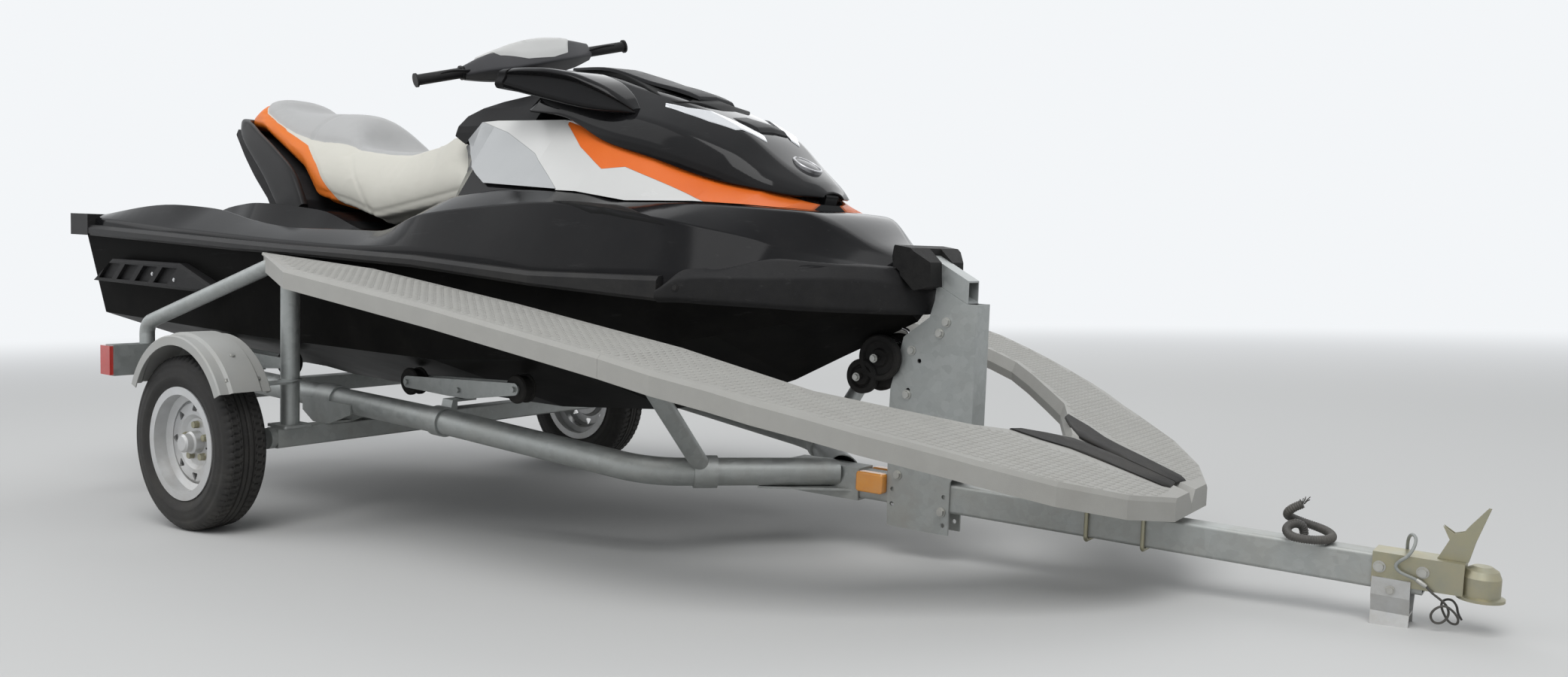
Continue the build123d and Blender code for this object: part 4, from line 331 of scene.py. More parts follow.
def hex_bolts(name, spots, across, height, slot, paint, body=CRAFT, washer=1.25):
    """Hexagonal heads on round washers. One head is rings of 24 points whose radius is the washer's, then
    half the width across flats over the cosine of the angle to the nearest flat; it is copied to each
    spot, which is a place and the direction it points."""
    turn = np.radians(np.arange(24) * 15.0)
    flat = across / 2 / np.cos((turn + np.pi / 6) % (np.pi / 3) - np.pi / 6)
    washer_radius, washer_top = np.full(24, washer * across / 2 * 1.2), 0.14 * across
    rings = [(washer_radius, 0.0), (washer_radius, washer_top), (flat, washer_top), (flat, 0.8 * height),
             (np.minimum(flat, 0.52 * across), height), (np.full(24, 0.25 * across), height)]
    head = np.stack([np.stack([radius * np.cos(turn), radius * np.sin(turn), np.full(24, up)], -1)
                     for radius, up in rings])
    places, ways = np.array(spots, float)[:, :3], unit(np.array(spots, float)[:, 3:])
    aside = unit(np.cross(ways, np.where(np.abs(ways[:, 2:]) > 0.9, (1.0, 0.0, 0.0), (0.0, 0.0, 1.0))))
    basis = np.stack([aside, np.cross(ways, aside), ways], 1)
    every = np.einsum("rcj,sjk->srck", head, basis) + places[:, None, None]
    build = bmesh.new()
    for one in every:
        build.from_mesh(surface("head", parked(one), around=True, ends=True))
    bmesh.ops.recalc_face_normals(build, faces=build.faces)
    mesh = bpy.data.meshes.new(name)
    build.to_mesh(mesh)
    build.free()
    return show(name, mesh, slot, paint, body, sharp=30.0)


wheel_paint = finish("wheel_silver", (0.55, 0.56, 0.57), (0.66, 0.67, 0.68), roughness=(0.28, 0.4), metallic=0.55,
                     dusty=(0.35, 0.5), scratched=0.12, grain=(300.0, 0.12), coat=0.3)
paint_nodes(wheel_paint, "wheel_left", "wheel_right")
tyre_rubber = finish("tyre_rubber", (0.014, 0.014, 0.015), (0.026, 0.025, 0.024), roughness=(0.6, 0.78),
                     mottled=(40.0, 1.6), dusty=(0.16, 0.55), scratched=0.08, grain=(420.0, 0.35),
                     dust_colour=(0.16, 0.15, 0.13), specular=0.3)
valve_black = finish("valve_rubber", (0.02, 0.02, 0.02), (0.04, 0.04, 0.04), roughness=(0.5, 0.6),
                     mottled=(20.0, 1.0))
tyre_wall = np.array([
    (153, 56), (173, 57.5), (177, 60), (184, 62), (190, 66.5), (200, 69.5), (204, 69.8), (206, 69.0), (216, 69.4),
    (226, 68.2), (228, 67.0), (236, 65.6), (238, 66.2), (243, 64.6), (252, 60.5), (259, 54.5), (263.2, 49.5),
])
tread_half, tread_radius, wheel_y = 47.5, 264.9, 827.0
tread_across = np.linspace(-tread_half, tread_half, 45)
tread_out = tread_radius - 1.4 * (tread_across / tread_half) ** 4
across = np.concatenate([-tyre_wall[:, 1], tread_across, tyre_wall[::-1, 1]])
out = np.concatenate([tyre_wall[:, 0], tread_out, tyre_wall[::-1, 0]])
angle, wide = np.meshgrid(np.linspace(0, 2 * np.pi, 288, endpoint=False), across, indexing="ij")
from_middle = np.abs(wide)
grooves = 6.0 * ((np.abs(from_middle - 17.0) < 2.4) | (from_middle < 1.3))
blocks = 5.0 * ((np.cos(72 * angle + 0.09 * from_middle) > 0.80) & (from_middle > 21.0))
sipes = 2.0 * ((np.cos(144 * angle - 0.2 * wide) > 0.9) & (from_middle < 15.0))
radius = out[None] - np.where(from_middle < 55.0, np.maximum(np.maximum(grooves, blocks), sipes), 0.0)
stud_turn, stud_circle, stud_y = np.radians(np.arange(5) * 72.0 + 20.0), 53, 833.0
valve_rings = np.array([(6.5, 0), (5.5, 8), (4.2, 11), (4.2, 27), (3.2, 28), (3.2, 36), (2.0, 37)])
valve_x, valve_y, ring = 124, 842.0, np.radians(np.arange(16) * 22.5)
for side_name, side_y in SIDES:
    wheel_body = f"wheel_{side_name}"
    tyre_grid = np.stack([radius * np.cos(angle), side_y * wheel_y + wide,
                          WHEEL_RADIUS + radius * np.sin(angle)], -1)
    tyre_grid = np.concatenate([tyre_grid, tyre_grid[:1]])
    show(f"tyre_tread_{side_name}", surface("tyre", parked(tyre_grid), around=True, solid=True), "tyre_rubber",
         tyre_rubber, wheel_body, 40.0, replaces=[f"tyre_{side_name}"])
    studs = [(stud_circle * np.cos(t), side_y * stud_y, WHEEL_RADIUS + stud_circle * np.sin(t), 0, side_y, 0)
             for t in stud_turn]
    hex_bolts(f"wheel_nuts_{side_name}", studs, 19.0, 15.0, "yellow_zinc", yellow_zinc, wheel_body, 1.0)
    valve = np.stack([valve_x + valve_rings[:, :1] * np.cos(ring),
                      side_y * (valve_y + valve_rings[:, 1:] + 0 * ring),
                      WHEEL_RADIUS + valve_rings[:, :1] * np.sin(ring)], -1)
    show_solid(f"tyre_valve_{side_name}", valve, "tyre_rubber", valve_black, wheel_body)

# Mudguards: steel sheet rolled round the wheels and painted satin grey. Each is screwed to its stays, with
# three bright screws over its front.
guard_paint = finish("mudguard_grey", (0.38, 0.385, 0.375), (0.43, 0.435, 0.42), roughness=(0.42, 0.55),
                     metallic=0.15, mottled=(10.0, 1.3), dusty=(0.25, 0.9), scratched=0.2, grain=(240.0, 0.12))
paint_nodes(guard_paint, "mudguards")
guard_screws = []
for side_y in (1, -1):
    for angle, wide in ((34, 790), (34, 884), (52, 838)):
        tilt = np.radians(angle)
        rise = 273.5 if 795 < wide < 882 else 265.5
        guard_screws.append((25 + rise * np.cos(tilt), side_y * wide, 330 + rise * np.sin(tilt), np.cos(tilt), 0,
                             np.sin(tilt)))
hex_bolts("mudguard_screws", guard_screws, 11.0, 5.0, "galvanised", bolt_steel)

# Walkways: boards moulded in grey plastic, open below. Struts, a bracket at the nose and U-bolts hold them
# on the frame.
walkway_grey = finish("walkway_moulding", (0.34, 0.335, 0.315), (0.41, 0.405, 0.38), roughness=(0.5, 0.62),
                      mottled=(14.0, 1.2), dusty=(0.18, 0.7), scratched=0.12, grain=(420.0, 0.25),
                      dust_colour=(0.26, 0.24, 0.20))
paint_nodes(walkway_grey, "walkway_rear", "walkway_front_left", "walkway_front_right")

# Rubber of the trailer: keel rollers on their spindles, keel discs on their pins and the bow stop on its
# arm, all moulded in black and slightly dusty.
trailer_rubber = finish("trailer_rubber", (0.010, 0.010, 0.011), (0.020, 0.020, 0.020), roughness=(0.45, 0.6),
                        mottled=(50.0, 1.4), dusty=(0.08, 0.7), scratched=0.05, grain=(380.0, 0.3), specular=0.06)
paint_nodes(trailer_rubber, "bogie_rollers", "keel_discs", "bow_stop")

# Lamps: plastic lenses moulded in colour and screwed over their lights, red at the ends of the beam and
# amber on the drawbar.
lamp_red = finish("lens_red", (0.42, 0.015, 0.012), (0.58, 0.03, 0.02), roughness=(0.12, 0.2), dusty=(0.2, 0.5),
                  scratched=0.05, coat=0.6)
paint_nodes(lamp_red, "tail_lamps")
lamp_amber = finish("lens_amber", (0.75, 0.26, 0.02), (0.88, 0.36, 0.03), roughness=(0.12, 0.2), dusty=(0.2, 0.5),
                    scratched=0.05, coat=0.6)
paint_nodes(lamp_amber, "side_lamps")


# Coupler at the drawbar's front end: plated pressing bolted through the drawbar, with its latch lever, and
# the folded aluminium foot that the trailer stands on.
def both_sides(wide, *spots):
    """Bolt spots at a width to port and to starboard, pointing outwards, from their (x, z)."""
    return [(x, side_y * wide, z, 0, side_y, 0) for side_y in (1, -1) for x, z in spots]


foot_alloy = finish("foot_alloy", (0.62, 0.63, 0.63), (0.50, 0.51, 0.52), roughness=(0.3, 0.5), metallic=0.8,
                    mottled=(30.0, 1.2), dusty=(0.4, 0.3), scratched=0.4, grain=(150.0, 0.15))
paint_nodes(foot_alloy, "foot_bracket")
hex_bolts("coupler_bolts", both_sides(35.4, (3178, 298), (3262, 300)), 17.0, 9.0, "galvanised", bolt_steel)
hex_bolts("foot_bolts", both_sides(41.0, (3203, 252)), 13.0, 7.0, "galvanised", bolt_steel)


# Wiring loom: black corrugated sleeve, one loose turn lying on the drawbar over its outlet, cut open at its
# upper end with the strands standing out.
def smooth_line(name, route):
    """NURBS curve object whose control points are the route, in level millimetres."""
    line = bpy.data.curves.new(name, "CURVE")
    line.dimensions = "3D"
    line.resolution_u = 12
    spline = line.splines.new("NURBS")
    spline.points.add(len(route) - 1)
    for point, spot in zip(spline.points, parked(route)):
        point.co = (*spot, 1.0)
    spline.order_u = 3
    spline.use_endpoint_u = True
    return bpy.data.objects.new(name, line)


def made_mesh(thing):
    """Mesh of an object as its modifiers leave it."""
    return bpy.data.meshes.new_from_object(thing.evaluated_get(bpy.context.evaluated_depsgraph_get()))


def vertex_rows(mesh, what="co"):
    """Positions or normals of a mesh's points, a row for each."""
    values = np.zeros(len(mesh.vertices) * 3)
    mesh.vertices.foreach_get(what, values)
    return values.reshape(-1, 3)


def line_points(curve_object):
    """Points along a smooth line, read from the curve itself."""
    scene.collection.objects.link(curve_object)
    bpy.context.view_layer.update()
    points = vertex_rows(made_mesh(curve_object))
    bpy.data.objects.remove(curve_object)
    return points


def hose(path, radius, sides):
    """Grid of a tube along a path: at each point a circle of the given radius stands square to the path.
    Its first direction is the path's tangent crossed with a fixed slanted direction."""
    ahead = unit(np.gradient(path, axis=0))
    aside = unit(np.cross(ahead, (0.31, 0.11, 0.94)))
    above = np.cross(ahead, aside)
    turn = np.linspace(0, 2 * np.pi, sides, endpoint=False)[None, :, None]
    ring = np.cos(turn) * aside[:, None] + np.sin(turn) * above[:, None]
    return path[:, None] + np.reshape(radius, (-1, 1, 1)) * ring


def respaced(path, spacing):
    """The path again with points evenly spaced along it."""
    run = np.concatenate([[0.0], np.cumsum(np.linalg.norm(np.diff(path, axis=0), axis=1))])
    even = np.linspace(0, run[-1], int(run[-1] / spacing) + 1)
    return np.stack([np.interp(even, run, path[:, k]) for k in range(3)], -1), run[-1]


cord_black = finish("loom_sleeve", (0.012, 0.012, 0.013), (0.03, 0.03, 0.03), roughness=(0.4, 0.55),
                    mottled=(80.0, 1.2), dusty=(0.2, 0.8))
loom_route = [
    (3014, 4, 330.3), (3014, 4, 352), (2994, -13, 360), (2982, -35, 348), (2996, -54, 337), (3022, -58, 335.4),
    (3048, -50, 335.2), (3067, -31, 335.4), (3075, -5, 335.8), (3069, 21, 338), (3051, 41, 342),
    (3025, 50, 346), (2999, 46, 352), (2979, 29, 361), (2973, 6, 372), (2986, -6, 390), (3008, -2, 402),
]
loom_path, loom_length = respaced(line_points(smooth_line("loom_line", loom_route)), 0.00125)
ridges = 0.0100 - 0.0011 * (np.arange(len(loom_path)) % 4 > 1)
loom = show("loom_sleeve", surface("loom_sleeve", hose(loom_path, ridges, 20), around=True, ends=True, solid=True),
            "cord_black", cord_black, sharp=50.0, replaces=["wiring_loom"])
strand_build = bmesh.new()
loom_tip = loom_path[-1]
for number in range(7):
    spin = number * 2.4
    fray = np.array([0.0035 * np.cos(spin), 0.0035 * np.sin(spin), 0.0])
    reach = 0.010 + 0.002 * (number % 4)
    spread = fray * np.array([[1.0], [1.3], [2.0 + 0.3 * number]])
    strand = loom_tip + spread + np.outer((-0.004, 0.4, 1.0), (0.5 * reach, 0.0, reach))
    strand_build.from_mesh(surface("strand", hose(strand, 0.0011, 6), around=True, ends=True))
strand_mesh = bpy.data.meshes.new("loom_strands")
strand_build.to_mesh(strand_mesh)
strand_build.free()
strands = show("loom_strands", strand_mesh, "cord_black", cord_black)

# Safety cable: grey sleeved wire rope from its eye on the coupler's port side over the top and down, held in
# a crimped sleeve, and the thin black wires that hang in loops from there.
cable_grey = finish("cable_sleeve", (0.20, 0.22, 0.21), (0.33, 0.35, 0.34), roughness=(0.35, 0.5),
                    mottled=(90.0, 1.5), dusty=(0.2, 0.6), scratched=0.1)
cable_route = [
    (3222, 35.7, 300), (3222, 47, 301), (3218, 46, 328), (3221, 28, 356), (3231, 6, 371), (3243, -16, 366),
    (3242, -36, 349), (3233, -45, 331), (3219, -48, 320), (3209, -47, 308), (3217, -46, 296),
    (3234, -45, 290), (3252, -44, 285), (3270, -43, 274),
]
wire_route = [
    (3270.3, -42.9, 273.8), (3281, -41, 262), (3298, -36, 250), (3312, -28, 236), (3316, -24, 216),
    (3304, -24, 197), (3288, -29, 196), (3281, -36, 212), (3290, -40, 230), (3308, -38, 240),
    (3324, -33, 229), (3334, -24, 213), (3331, -14, 197), (3316, -8, 196), (3304, -6, 212), (3297, -10, 232),
    (3303, -16, 246), (3318, -18, 250), (3328, -12, 236), (3329, -2, 218), (3336, 8, 204),
]
crimp_path = parked([(3252, -44.2, 284.6), (3258, -43.8, 281.2), (3264, -43.4, 277.6), (3271, -42.9, 273.2)])
crimp = show("cable_crimp", surface("cable_crimp", hose(crimp_path, (0.0046, 0.0054, 0.0054, 0.0044), 12),
                                    around=True, ends=True, solid=True), "galvanised", bolt_steel)
for name, route, radius, paint, slot, node, far_end, others in (
    ("cable_sleeve", cable_route, 0.0035, cable_grey, "cable_grey", "safety_cable", "connector", [crimp]),
    ("thin_wires", wire_route, 0.0025, cord_black, "cord_black", "hanging_wires", "bare", []),
):
    run = smooth_line(name, route)
    path = line_points(smooth_line(name + "_line", route))
    run.data.bevel_depth = radius
    run.data.bevel_resolution = 3
    run.data.use_fill_caps = True
    run.data.materials.append(paint)
    scene.collection.objects.link(run)
    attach(run, CRAFT)
    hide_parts(node)

# Bow post: two galvanised plates fixed to the drawbar with through bolts, and on top of them the bolts of
# the arm that carries the bow stop.
post_spots = both_sides(36.8, (2115, 747), (2097, 717), (2016, 666), (2007, 548), (2125, 250), (1990, 330),
                        (2120, 380))
hex_bolts("bow_post_bolts", post_spots, 17.0, 9.0, "galvanised", bolt_steel)

# Keel disc pins: plated hub bolts with washers, on which the dished rubber discs turn, one at the middle of
# each disc.
hex_bolts("keel_disc_bolts", both_sides(82.0, (1928, 640), (1876, 586)), 15.0, 9.0, "galvanised", bolt_steel)

# Scale tread on the walkways: overlapping half-round ridges moulded in one with the boards, in staggered
# rows across, left out under the step pad.
board_rows = np.array([
    (-20, 602, 613, 842), (557, 602, 910, 816), (1158, 602, 910, 751), (1722, 600, 908, 680), (1848, 580, 880, 653),
    (1963, 552, 825, 626), (2050, 520, 785, 603), (2143, 435, 730, 579), (2251, 325, 665, 549),
    (2322, 250, 612, 529), (2396, 107, 550, 506), (2450, 0, 512, 490), (2590, 0, 400, 448), (2700, 0, 262, 414),
    (2762, 0, 120, 395),
], float)
scale_pitch, first_row, last_row, ring_points = 25.0, 40, 2735, 8
scale_x, scale_y = np.meshgrid(np.arange(first_row, last_row, scale_pitch * 0.62), np.arange(-37, 37) * scale_pitch,
                               indexing="ij")
scale_y = scale_y + scale_pitch / 2 * (np.arange(len(scale_x))[:, None] % 2)
inner_edge, outer_edge, board_height = [np.interp(scale_x, board_rows[:, 0], board_rows[:, k]) for k in (1, 2, 3)]
on_pad = (scale_x > 2300) & (np.abs(scale_y) < 200 - 0.36 * (scale_x - 2380)) & (scale_x < 2725)
keep_scale = ((np.abs(scale_y) > np.where(inner_edge < 20, -1, inner_edge + 42))
              & (np.abs(scale_y) < outer_edge - 30) & ~on_pad)
centres = np.stack([scale_x, scale_y, board_height], -1)[keep_scale]
arc = np.linspace(-0.5 * np.pi, 0.5 * np.pi, ring_points)
scale_rings = np.stack([
    np.stack([radius * np.cos(arc), radius * np.sin(arc) * 1.08, np.full(ring_points, rise)], -1)
    for radius, rise in ((8.4, -0.6), (10.4, 1.6), (11.2, 1.6), (12.6, -0.6))])
fall = np.interp(centres[:, 0], board_rows[1:, 0], np.diff(board_rows[:, 3]) / np.diff(board_rows[:, 0]))
treads = centres[:, None, None] + scale_rings[None]
treads[..., 2] += fall[:, None, None] * scale_rings[None, ..., 0]
one = np.arange(4 * ring_points).reshape(4, ring_points)
one_end, other_end = one[::-1, 0], one[:, -1]
one = np.concatenate([one, one[:1]])
quads = np.stack([one[:-1, :-1], one[:-1, 1:], one[1:, 1:], one[1:, :-1]], -1).reshape(-1, 4)
quads = np.concatenate([quads, [one_end, other_end]])
tread_mesh = bpy.data.meshes.new("walkway_tread")
tread_faces = (quads[None] + 4 * ring_points * np.arange(len(centres))[:, None, None]).reshape(-1, 4)
tread_mesh.from_pydata(parked(treads).reshape(-1, 3).tolist(), [], tread_faces.tolist())
tread_turn = bmesh.new()
tread_turn.from_mesh(tread_mesh)
bmesh.ops.recalc_face_normals(tread_turn, faces=tread_turn.faces)
tread_turn.to_mesh(tread_mesh)
tread_turn.free()
show("walkway_tread", tread_mesh, "walkway_grey", walkway_grey, sharp=70.0)


# Step pad at the nose of the walkways: two blades of grained black rubber, glued on, that meet on the middle
# line in a point.
def board_at(x, y):
    """Height of the walkway boards, the same all across at each x."""
    return np.interp(x, board_rows[:, 0], board_rows[:, 3])


def plate_on(outline, height, lift, sink):
    """Closed grid of a plate that lies on a surface. The outline's points (x, y) run round it; rings inside
    it are the outline drawn in towards its middle, and height(x, y) gives the surface under each point."""
    bevel, middle = 4.0, outline.mean(0)
    inside = outline + unit(middle - outline) * bevel
    rings = [(outline, -sink), (outline, lift * 0.4), (inside, lift)]
    rings += [(inside + (middle - inside) * share, lift) for share in (0.35, 0.7)]
    return np.stack([np.concatenate([ring, (height(ring[:, 0], ring[:, 1]) + up)[:, None]], axis=1)
                     for ring, up in rings])


def subdivided(points, parts):
    """A closed outline with more points: each side is cut into equal parts."""
    points = np.array(points, float)
    following = np.roll(points, -1, axis=0)
    share = (np.arange(parts) / parts)[None, :, None]
    return (points[:, None] * (1 - share) + following[:, None] * share).reshape(-1, 2)


def show_plates(name, outline, height, lift, sink, *looks):
    """Show a plate on a surface, to port and mirrored to starboard."""
    for side_name, side_y in SIDES:
        plate = subdivided([(x, side_y * y) for x, y in outline], 3)
        show_solid(f"{name}_{side_name}", plate_on(plate, height, lift, sink), *looks)


blade = [(2372, 178), (2440, 150), (2500, 112), (2560, 100), (2714, 74), (2728, 58), (2722, 2), (2640, 2),
         (2560, 2), (2470, 20), (2420, 80), (2380, 140)]
show_plates("nose_pad", blade, board_at, 4.0, 3.0, "black_rubber", trailer_rubber)

# Hull: glass fibre moulded under gloss black gelcoat, with fine scratches. The jet drive in its stern is
# bolted together from cast aluminium, with a stainless impeller and towing eyes.
hull_black = finish("gelcoat_black", (0.006, 0.006, 0.007), (0.012, 0.012, 0.013), roughness=(0.09, 0.16),
                    mottled=(6.0, 1.0), dusty=(0.02, 0.9), scratched=0.06, specular=0.09)
hull_bottom = finish("hull_bottom", (0.006, 0.006, 0.006), (0.010, 0.010, 0.010), roughness=(0.3, 0.4),
                     mottled=(6.0, 1.0), dusty=(0.02, 0.9), scratched=0.06, specular=0.01)
paint_nodes(hull_bottom, "hull")
paint_nodes(hull_black, "front_body")
cast_metal = finish("cast_aluminium", (0.42, 0.43, 0.44), (0.52, 0.53, 0.54), roughness=(0.35, 0.5), metallic=0.85,
                    mottled=(60.0, 1.4), dusty=(0.2, 0.8), scratched=0.2, grain=(200.0, 0.3))
paint_nodes(cast_metal, "engine", "jet_pump", "jet_nozzle", "reverse_bucket", "ride_plate", "intake_grate")
stainless = finish("stainless", (0.60, 0.60, 0.61), (0.66, 0.66, 0.67), roughness=(0.18, 0.28), metallic=1.0,
                   mottled=(60.0, 1.0), dusty=(0.1, 0.8), scratched=0.3)
paint_nodes(stainless, "impeller", "towing_eyes")

# Sponsons: ribbed mouldings in grained black plastic, each held to the hull's side by two bright screws. The
# steering cowl is of the same plastic.
trim_black = finish("grained_trim", (0.012, 0.012, 0.013), (0.020, 0.020, 0.021), roughness=(0.42, 0.55),
                    mottled=(40.0, 1.2), dusty=(0.03, 1.0), scratched=0.08, grain=(520.0, 0.3), specular=0.12)
paint_nodes(trim_black, "sponsons", "steering_cowl")
hex_bolts("sponson_screws", both_sides(600.5, (-700, 742), (-560, 728)), 9.0, 3.0, "stainless", stainless)

# Bumper rail: black rubber extrusion pressed over the flange where hull and deck are bonded. The hand grips
# are rubber too, pushed on the ends of the bar.
rail_rubber = finish("rail_rubber", (0.010, 0.010, 0.011), (0.017, 0.017, 0.018), roughness=(0.36, 0.48),
                     dusty=(0.06, 1.0), scratched=0.1, grain=(420.0, 0.15), specular=0.2)
paint_nodes(rail_rubber, "bumper_rail", "grips")


# Deck: one black gelcoat moulding bonded to the hull behind the rail, with footwells aft and creased pods
# forward. Its sections run smoothly into each other from the stern to the nose.
def fair(rows, steps):
    """Rows of numbers or points that begin with x, again at finer x: each column follows a cubic between the
    rows, whose slope at a row is the harmonic mean of the slopes beside it, so that it never overshoots."""
    table = np.array([(x, *np.ravel(rest)) for x, *rest in rows], float)
    x, value = table[:, 0], table[:, 1:]
    step = np.diff(x)
    slope = np.diff(value, axis=0) / step[:, None]
    product = slope[:-1] * slope[1:]
    total = slope[:-1] + slope[1:]
    inner = np.where(product > 0, 2 * product / np.where(np.abs(total) < 1e-9, 1.0, total), 0.0)
    tangent = np.concatenate([slope[:1], inner, slope[-1:]])
    fine = np.concatenate([(x[:-1, None] + step[:, None] * np.arange(steps) / steps).ravel(), x[-1:]])
    k = np.clip(np.searchsorted(x, fine, "right") - 1, 0, len(x) - 2)
    t, h = ((fine - x[k]) / step[k])[:, None], step[k][:, None]
    blended = ((1 + 2 * t) * (1 - t) ** 2 * value[k] + t * (1 - t) ** 2 * h * tangent[k]
               + t ** 2 * (3 - 2 * t) * value[k + 1] - t ** 2 * (1 - t) * h * tangent[k + 1])
    return fine, blended


def rounded(line, corner, steps=5):
    """Polylines (rows of points) whose inner corners become short curves: each leaves its two straight
    sides `corner` before the point, or at most 0.45 of the side, and bends with the point as its control."""
    at = line[:, 1:-1]
    reach = np.broadcast_to(np.asarray(corner, float), at.shape[1:2])[None, :, None]

    def toward(other):
        side = np.linalg.norm(other - at, axis=2, keepdims=True)
        return at + (other - at) * np.minimum(reach / np.maximum(side, 1e-6), 0.45)

    t = np.linspace(0, 1, steps)[None, None, :, None]
    start, stop = toward(line[:, :-2])[:, :, None], toward(line[:, 2:])[:, :, None]
    curve = (1 - t) ** 2 * start + 2 * t * (1 - t) * at[:, :, None] + t ** 2 * stop
    curve = curve.reshape(len(line), -1, line.shape[2])
    return np.concatenate([line[:, :1], curve, line[:, -1:]], axis=1)


def across_grid(rows, steps, corner):
    """Grid of a shape from its half sections. A row is x, then (half width, height) from the lowest point
    up; sections are faired along x, their corners rounded, and mirrored to the other side."""
    fine, values = fair(rows, steps)
    half = rounded(values.reshape(len(fine), -1, 2), corner)
    other = half[:, ::-1] * (-1, 1)
    if np.abs(half[:, -1, 0]).max() < 1e-6:
        other = other[:, 1:]
    full = np.concatenate([half, other], axis=1)
    return np.concatenate([np.broadcast_to(fine[:, None, None], (*full.shape[:2], 1)), full], axis=2)


deck_rows = [
    (-1284, (568, 912), (515, 925), (490, 900), (300, 900), (240, 904)),
    (-1165, (570, 925), (520, 945), (490, 903), (300, 903), (240, 907)),
    (-738, (573, 905), (500, 988), (455, 900), (320, 900), (270, 992)),
    (-540, (577, 900), (465, 979), (440, 895), (345, 895), (300, 1004)),
    (-233, (579, 890), (490, 940), (455, 885), (330, 885), (262, 985)),
    (14, (580, 882), (500, 925), (450, 878), (310, 878), (240, 918)),
    (372, (581, 876), (480, 925), (430, 876), (345, 876), (290, 985)),
    (663, (582, 878), (540, 978), (440, 1030), (425, 1034), (300, 1036)),
    (940, (580, 868), (520, 1008), (430, 1057), (402, 1060), (300, 1062)),
    (1134, (573, 856), (515, 1020), (412, 1050), (390, 1054), (300, 1056)),
    (1301, (558, 852), (495, 1010), (392, 1029), (370, 1032), (250, 1034)),
    (1504, (524, 852), (450, 985), (352, 1031), (330, 1035), (200, 1037)),
    (1623, (490, 850), (415, 965), (300, 1027), (280, 1031), (150, 1033)),
    (1718, (436, 858), (370, 945), (262, 1021), (240, 1025), (120, 1027)),
    (1782, (396, 870), (330, 925), (225, 1016), (200, 1020), (100, 1023)),
    (1920, (268, 880), (218, 897), (138, 928), (110, 940), (55, 946)),
    (1985, (166, 872), (125, 884), (80, 900), (60, 906), (30, 911)),
    (2010, (127, 866), (95, 876), (60, 888), (40, 893), (20, 896)),
]
bond_table = np.array([(-1284, 560, 888), (-1215, 574, 886), (-200, 583, 858), (700, 585, 843), (1166, 576, 820),
                       (1470, 540, 806), (1623, 496, 800), (1782, 406, 800), (1920, 276, 800), (2010, 133, 800)])
deck_sections = []
for x, *points in deck_rows:
    edge = [float(np.interp(x, bond_table[:, 0], bond_table[:, k])) for k in (1, 2)]
    deck_sections.append((x, (edge[0] - 40, edge[1]), edge, *points))
show_solid("deck_moulding", across_grid(deck_sections, 8, (6, 9, 5, 12, 16)), "hull_black", hull_black, sharp=24.0,
           replaces=["deck"])


# Pod intakes: the intake recess in the upper crease of each pod, in front of the steering, drawn as a plate
# that stands a little above the deck. The plate's darker, matte black is painted shade in the recess.
def height_on(rows, steps):
    """The function (x, y) that reads the height of a skin from its half sections beside x: straight from
    point to point across the section, and the last point's height inside that point."""
    fine, values = fair(rows, steps)

    def height(x, y):
        x, y = np.broadcast_arrays(np.asarray(x, float), np.abs(np.asarray(y, float)))
        columns = [np.interp(x, fine, column) for column in values.T]
        result = columns[-1]
        for k in range(len(columns) - 4, -1, -2):
            outer, inner = columns[k], columns[k + 2]
            share = np.clip((y - inner) / np.maximum(outer - inner, 1e-6), 0, 1)
            result = np.where(y >= inner, columns[k + 3] + share * (columns[k + 1] - columns[k + 3]), result)
        return result
    return height


# Painted shade: the intake plates are darker and duller than the deck, for the shadow in each recess.
recess_black_and_shade = finish("recess_black_and_shade", (0.004, 0.004, 0.004), (0.007, 0.007, 0.007), roughness=(0.5, 0.6),
                      mottled=(20.0, 1.0), specular=0.1)
intake = [(1154, 502), (1194, 480), (1232, 462), (1322, 435), (1380, 446), (1436, 460), (1514, 456), (1455, 470),
          (1400, 483), (1298, 502), (1208, 508)]
show_plates("pod_intake", intake, height_on(deck_rows, 8), 1.6, 5.0, "trim_black", recess_black_and_shade)

# Footwell mats: dark grey foam sheet with lengthwise ribs, glued to the floor of the footwell on each side of
# the seat.
mat_foam = finish("mat_foam", (0.035, 0.035, 0.036), (0.055, 0.055, 0.056), roughness=(0.75, 0.9),
                  mottled=(60.0, 1.4), dusty=(0.15, 1.2), scratched=0.05, grain=(600.0, 0.5), specular=0.2)
mat_x = np.linspace(-640, 330, 60)
mat_knots = (-640, -233, 14, 330)
wide, narrow = [np.interp(mat_x, mat_knots, row)[:, None] for row in ((436, 448, 442, 424), (340, 338, 322, 346))]
mat_y = narrow + (wide - narrow) * np.linspace(0, 1, 49)
mat_ribs = 3.0 + 1.5 * (np.arange(49) % 4 < 2)
mat_floor = np.interp(mat_x, (-738, -540, -233, 14, 372), (900, 895, 885, 878, 876))[:, None]
for side_name, side_y in SIDES:
    over = np.stack([mat_x[:, None] + 0 * mat_y, side_y * mat_y, mat_floor + mat_ribs], -1)
    under = over[:, ::-1] * (1, 1, 0) + np.stack([0 * mat_floor, 0 * mat_floor, mat_floor - 1.0], -1)
    show_solid(f"footwell_mat_{side_name}", np.concatenate([over, under], axis=1), "black_rubber", mat_foam,
               sharp=45.0)

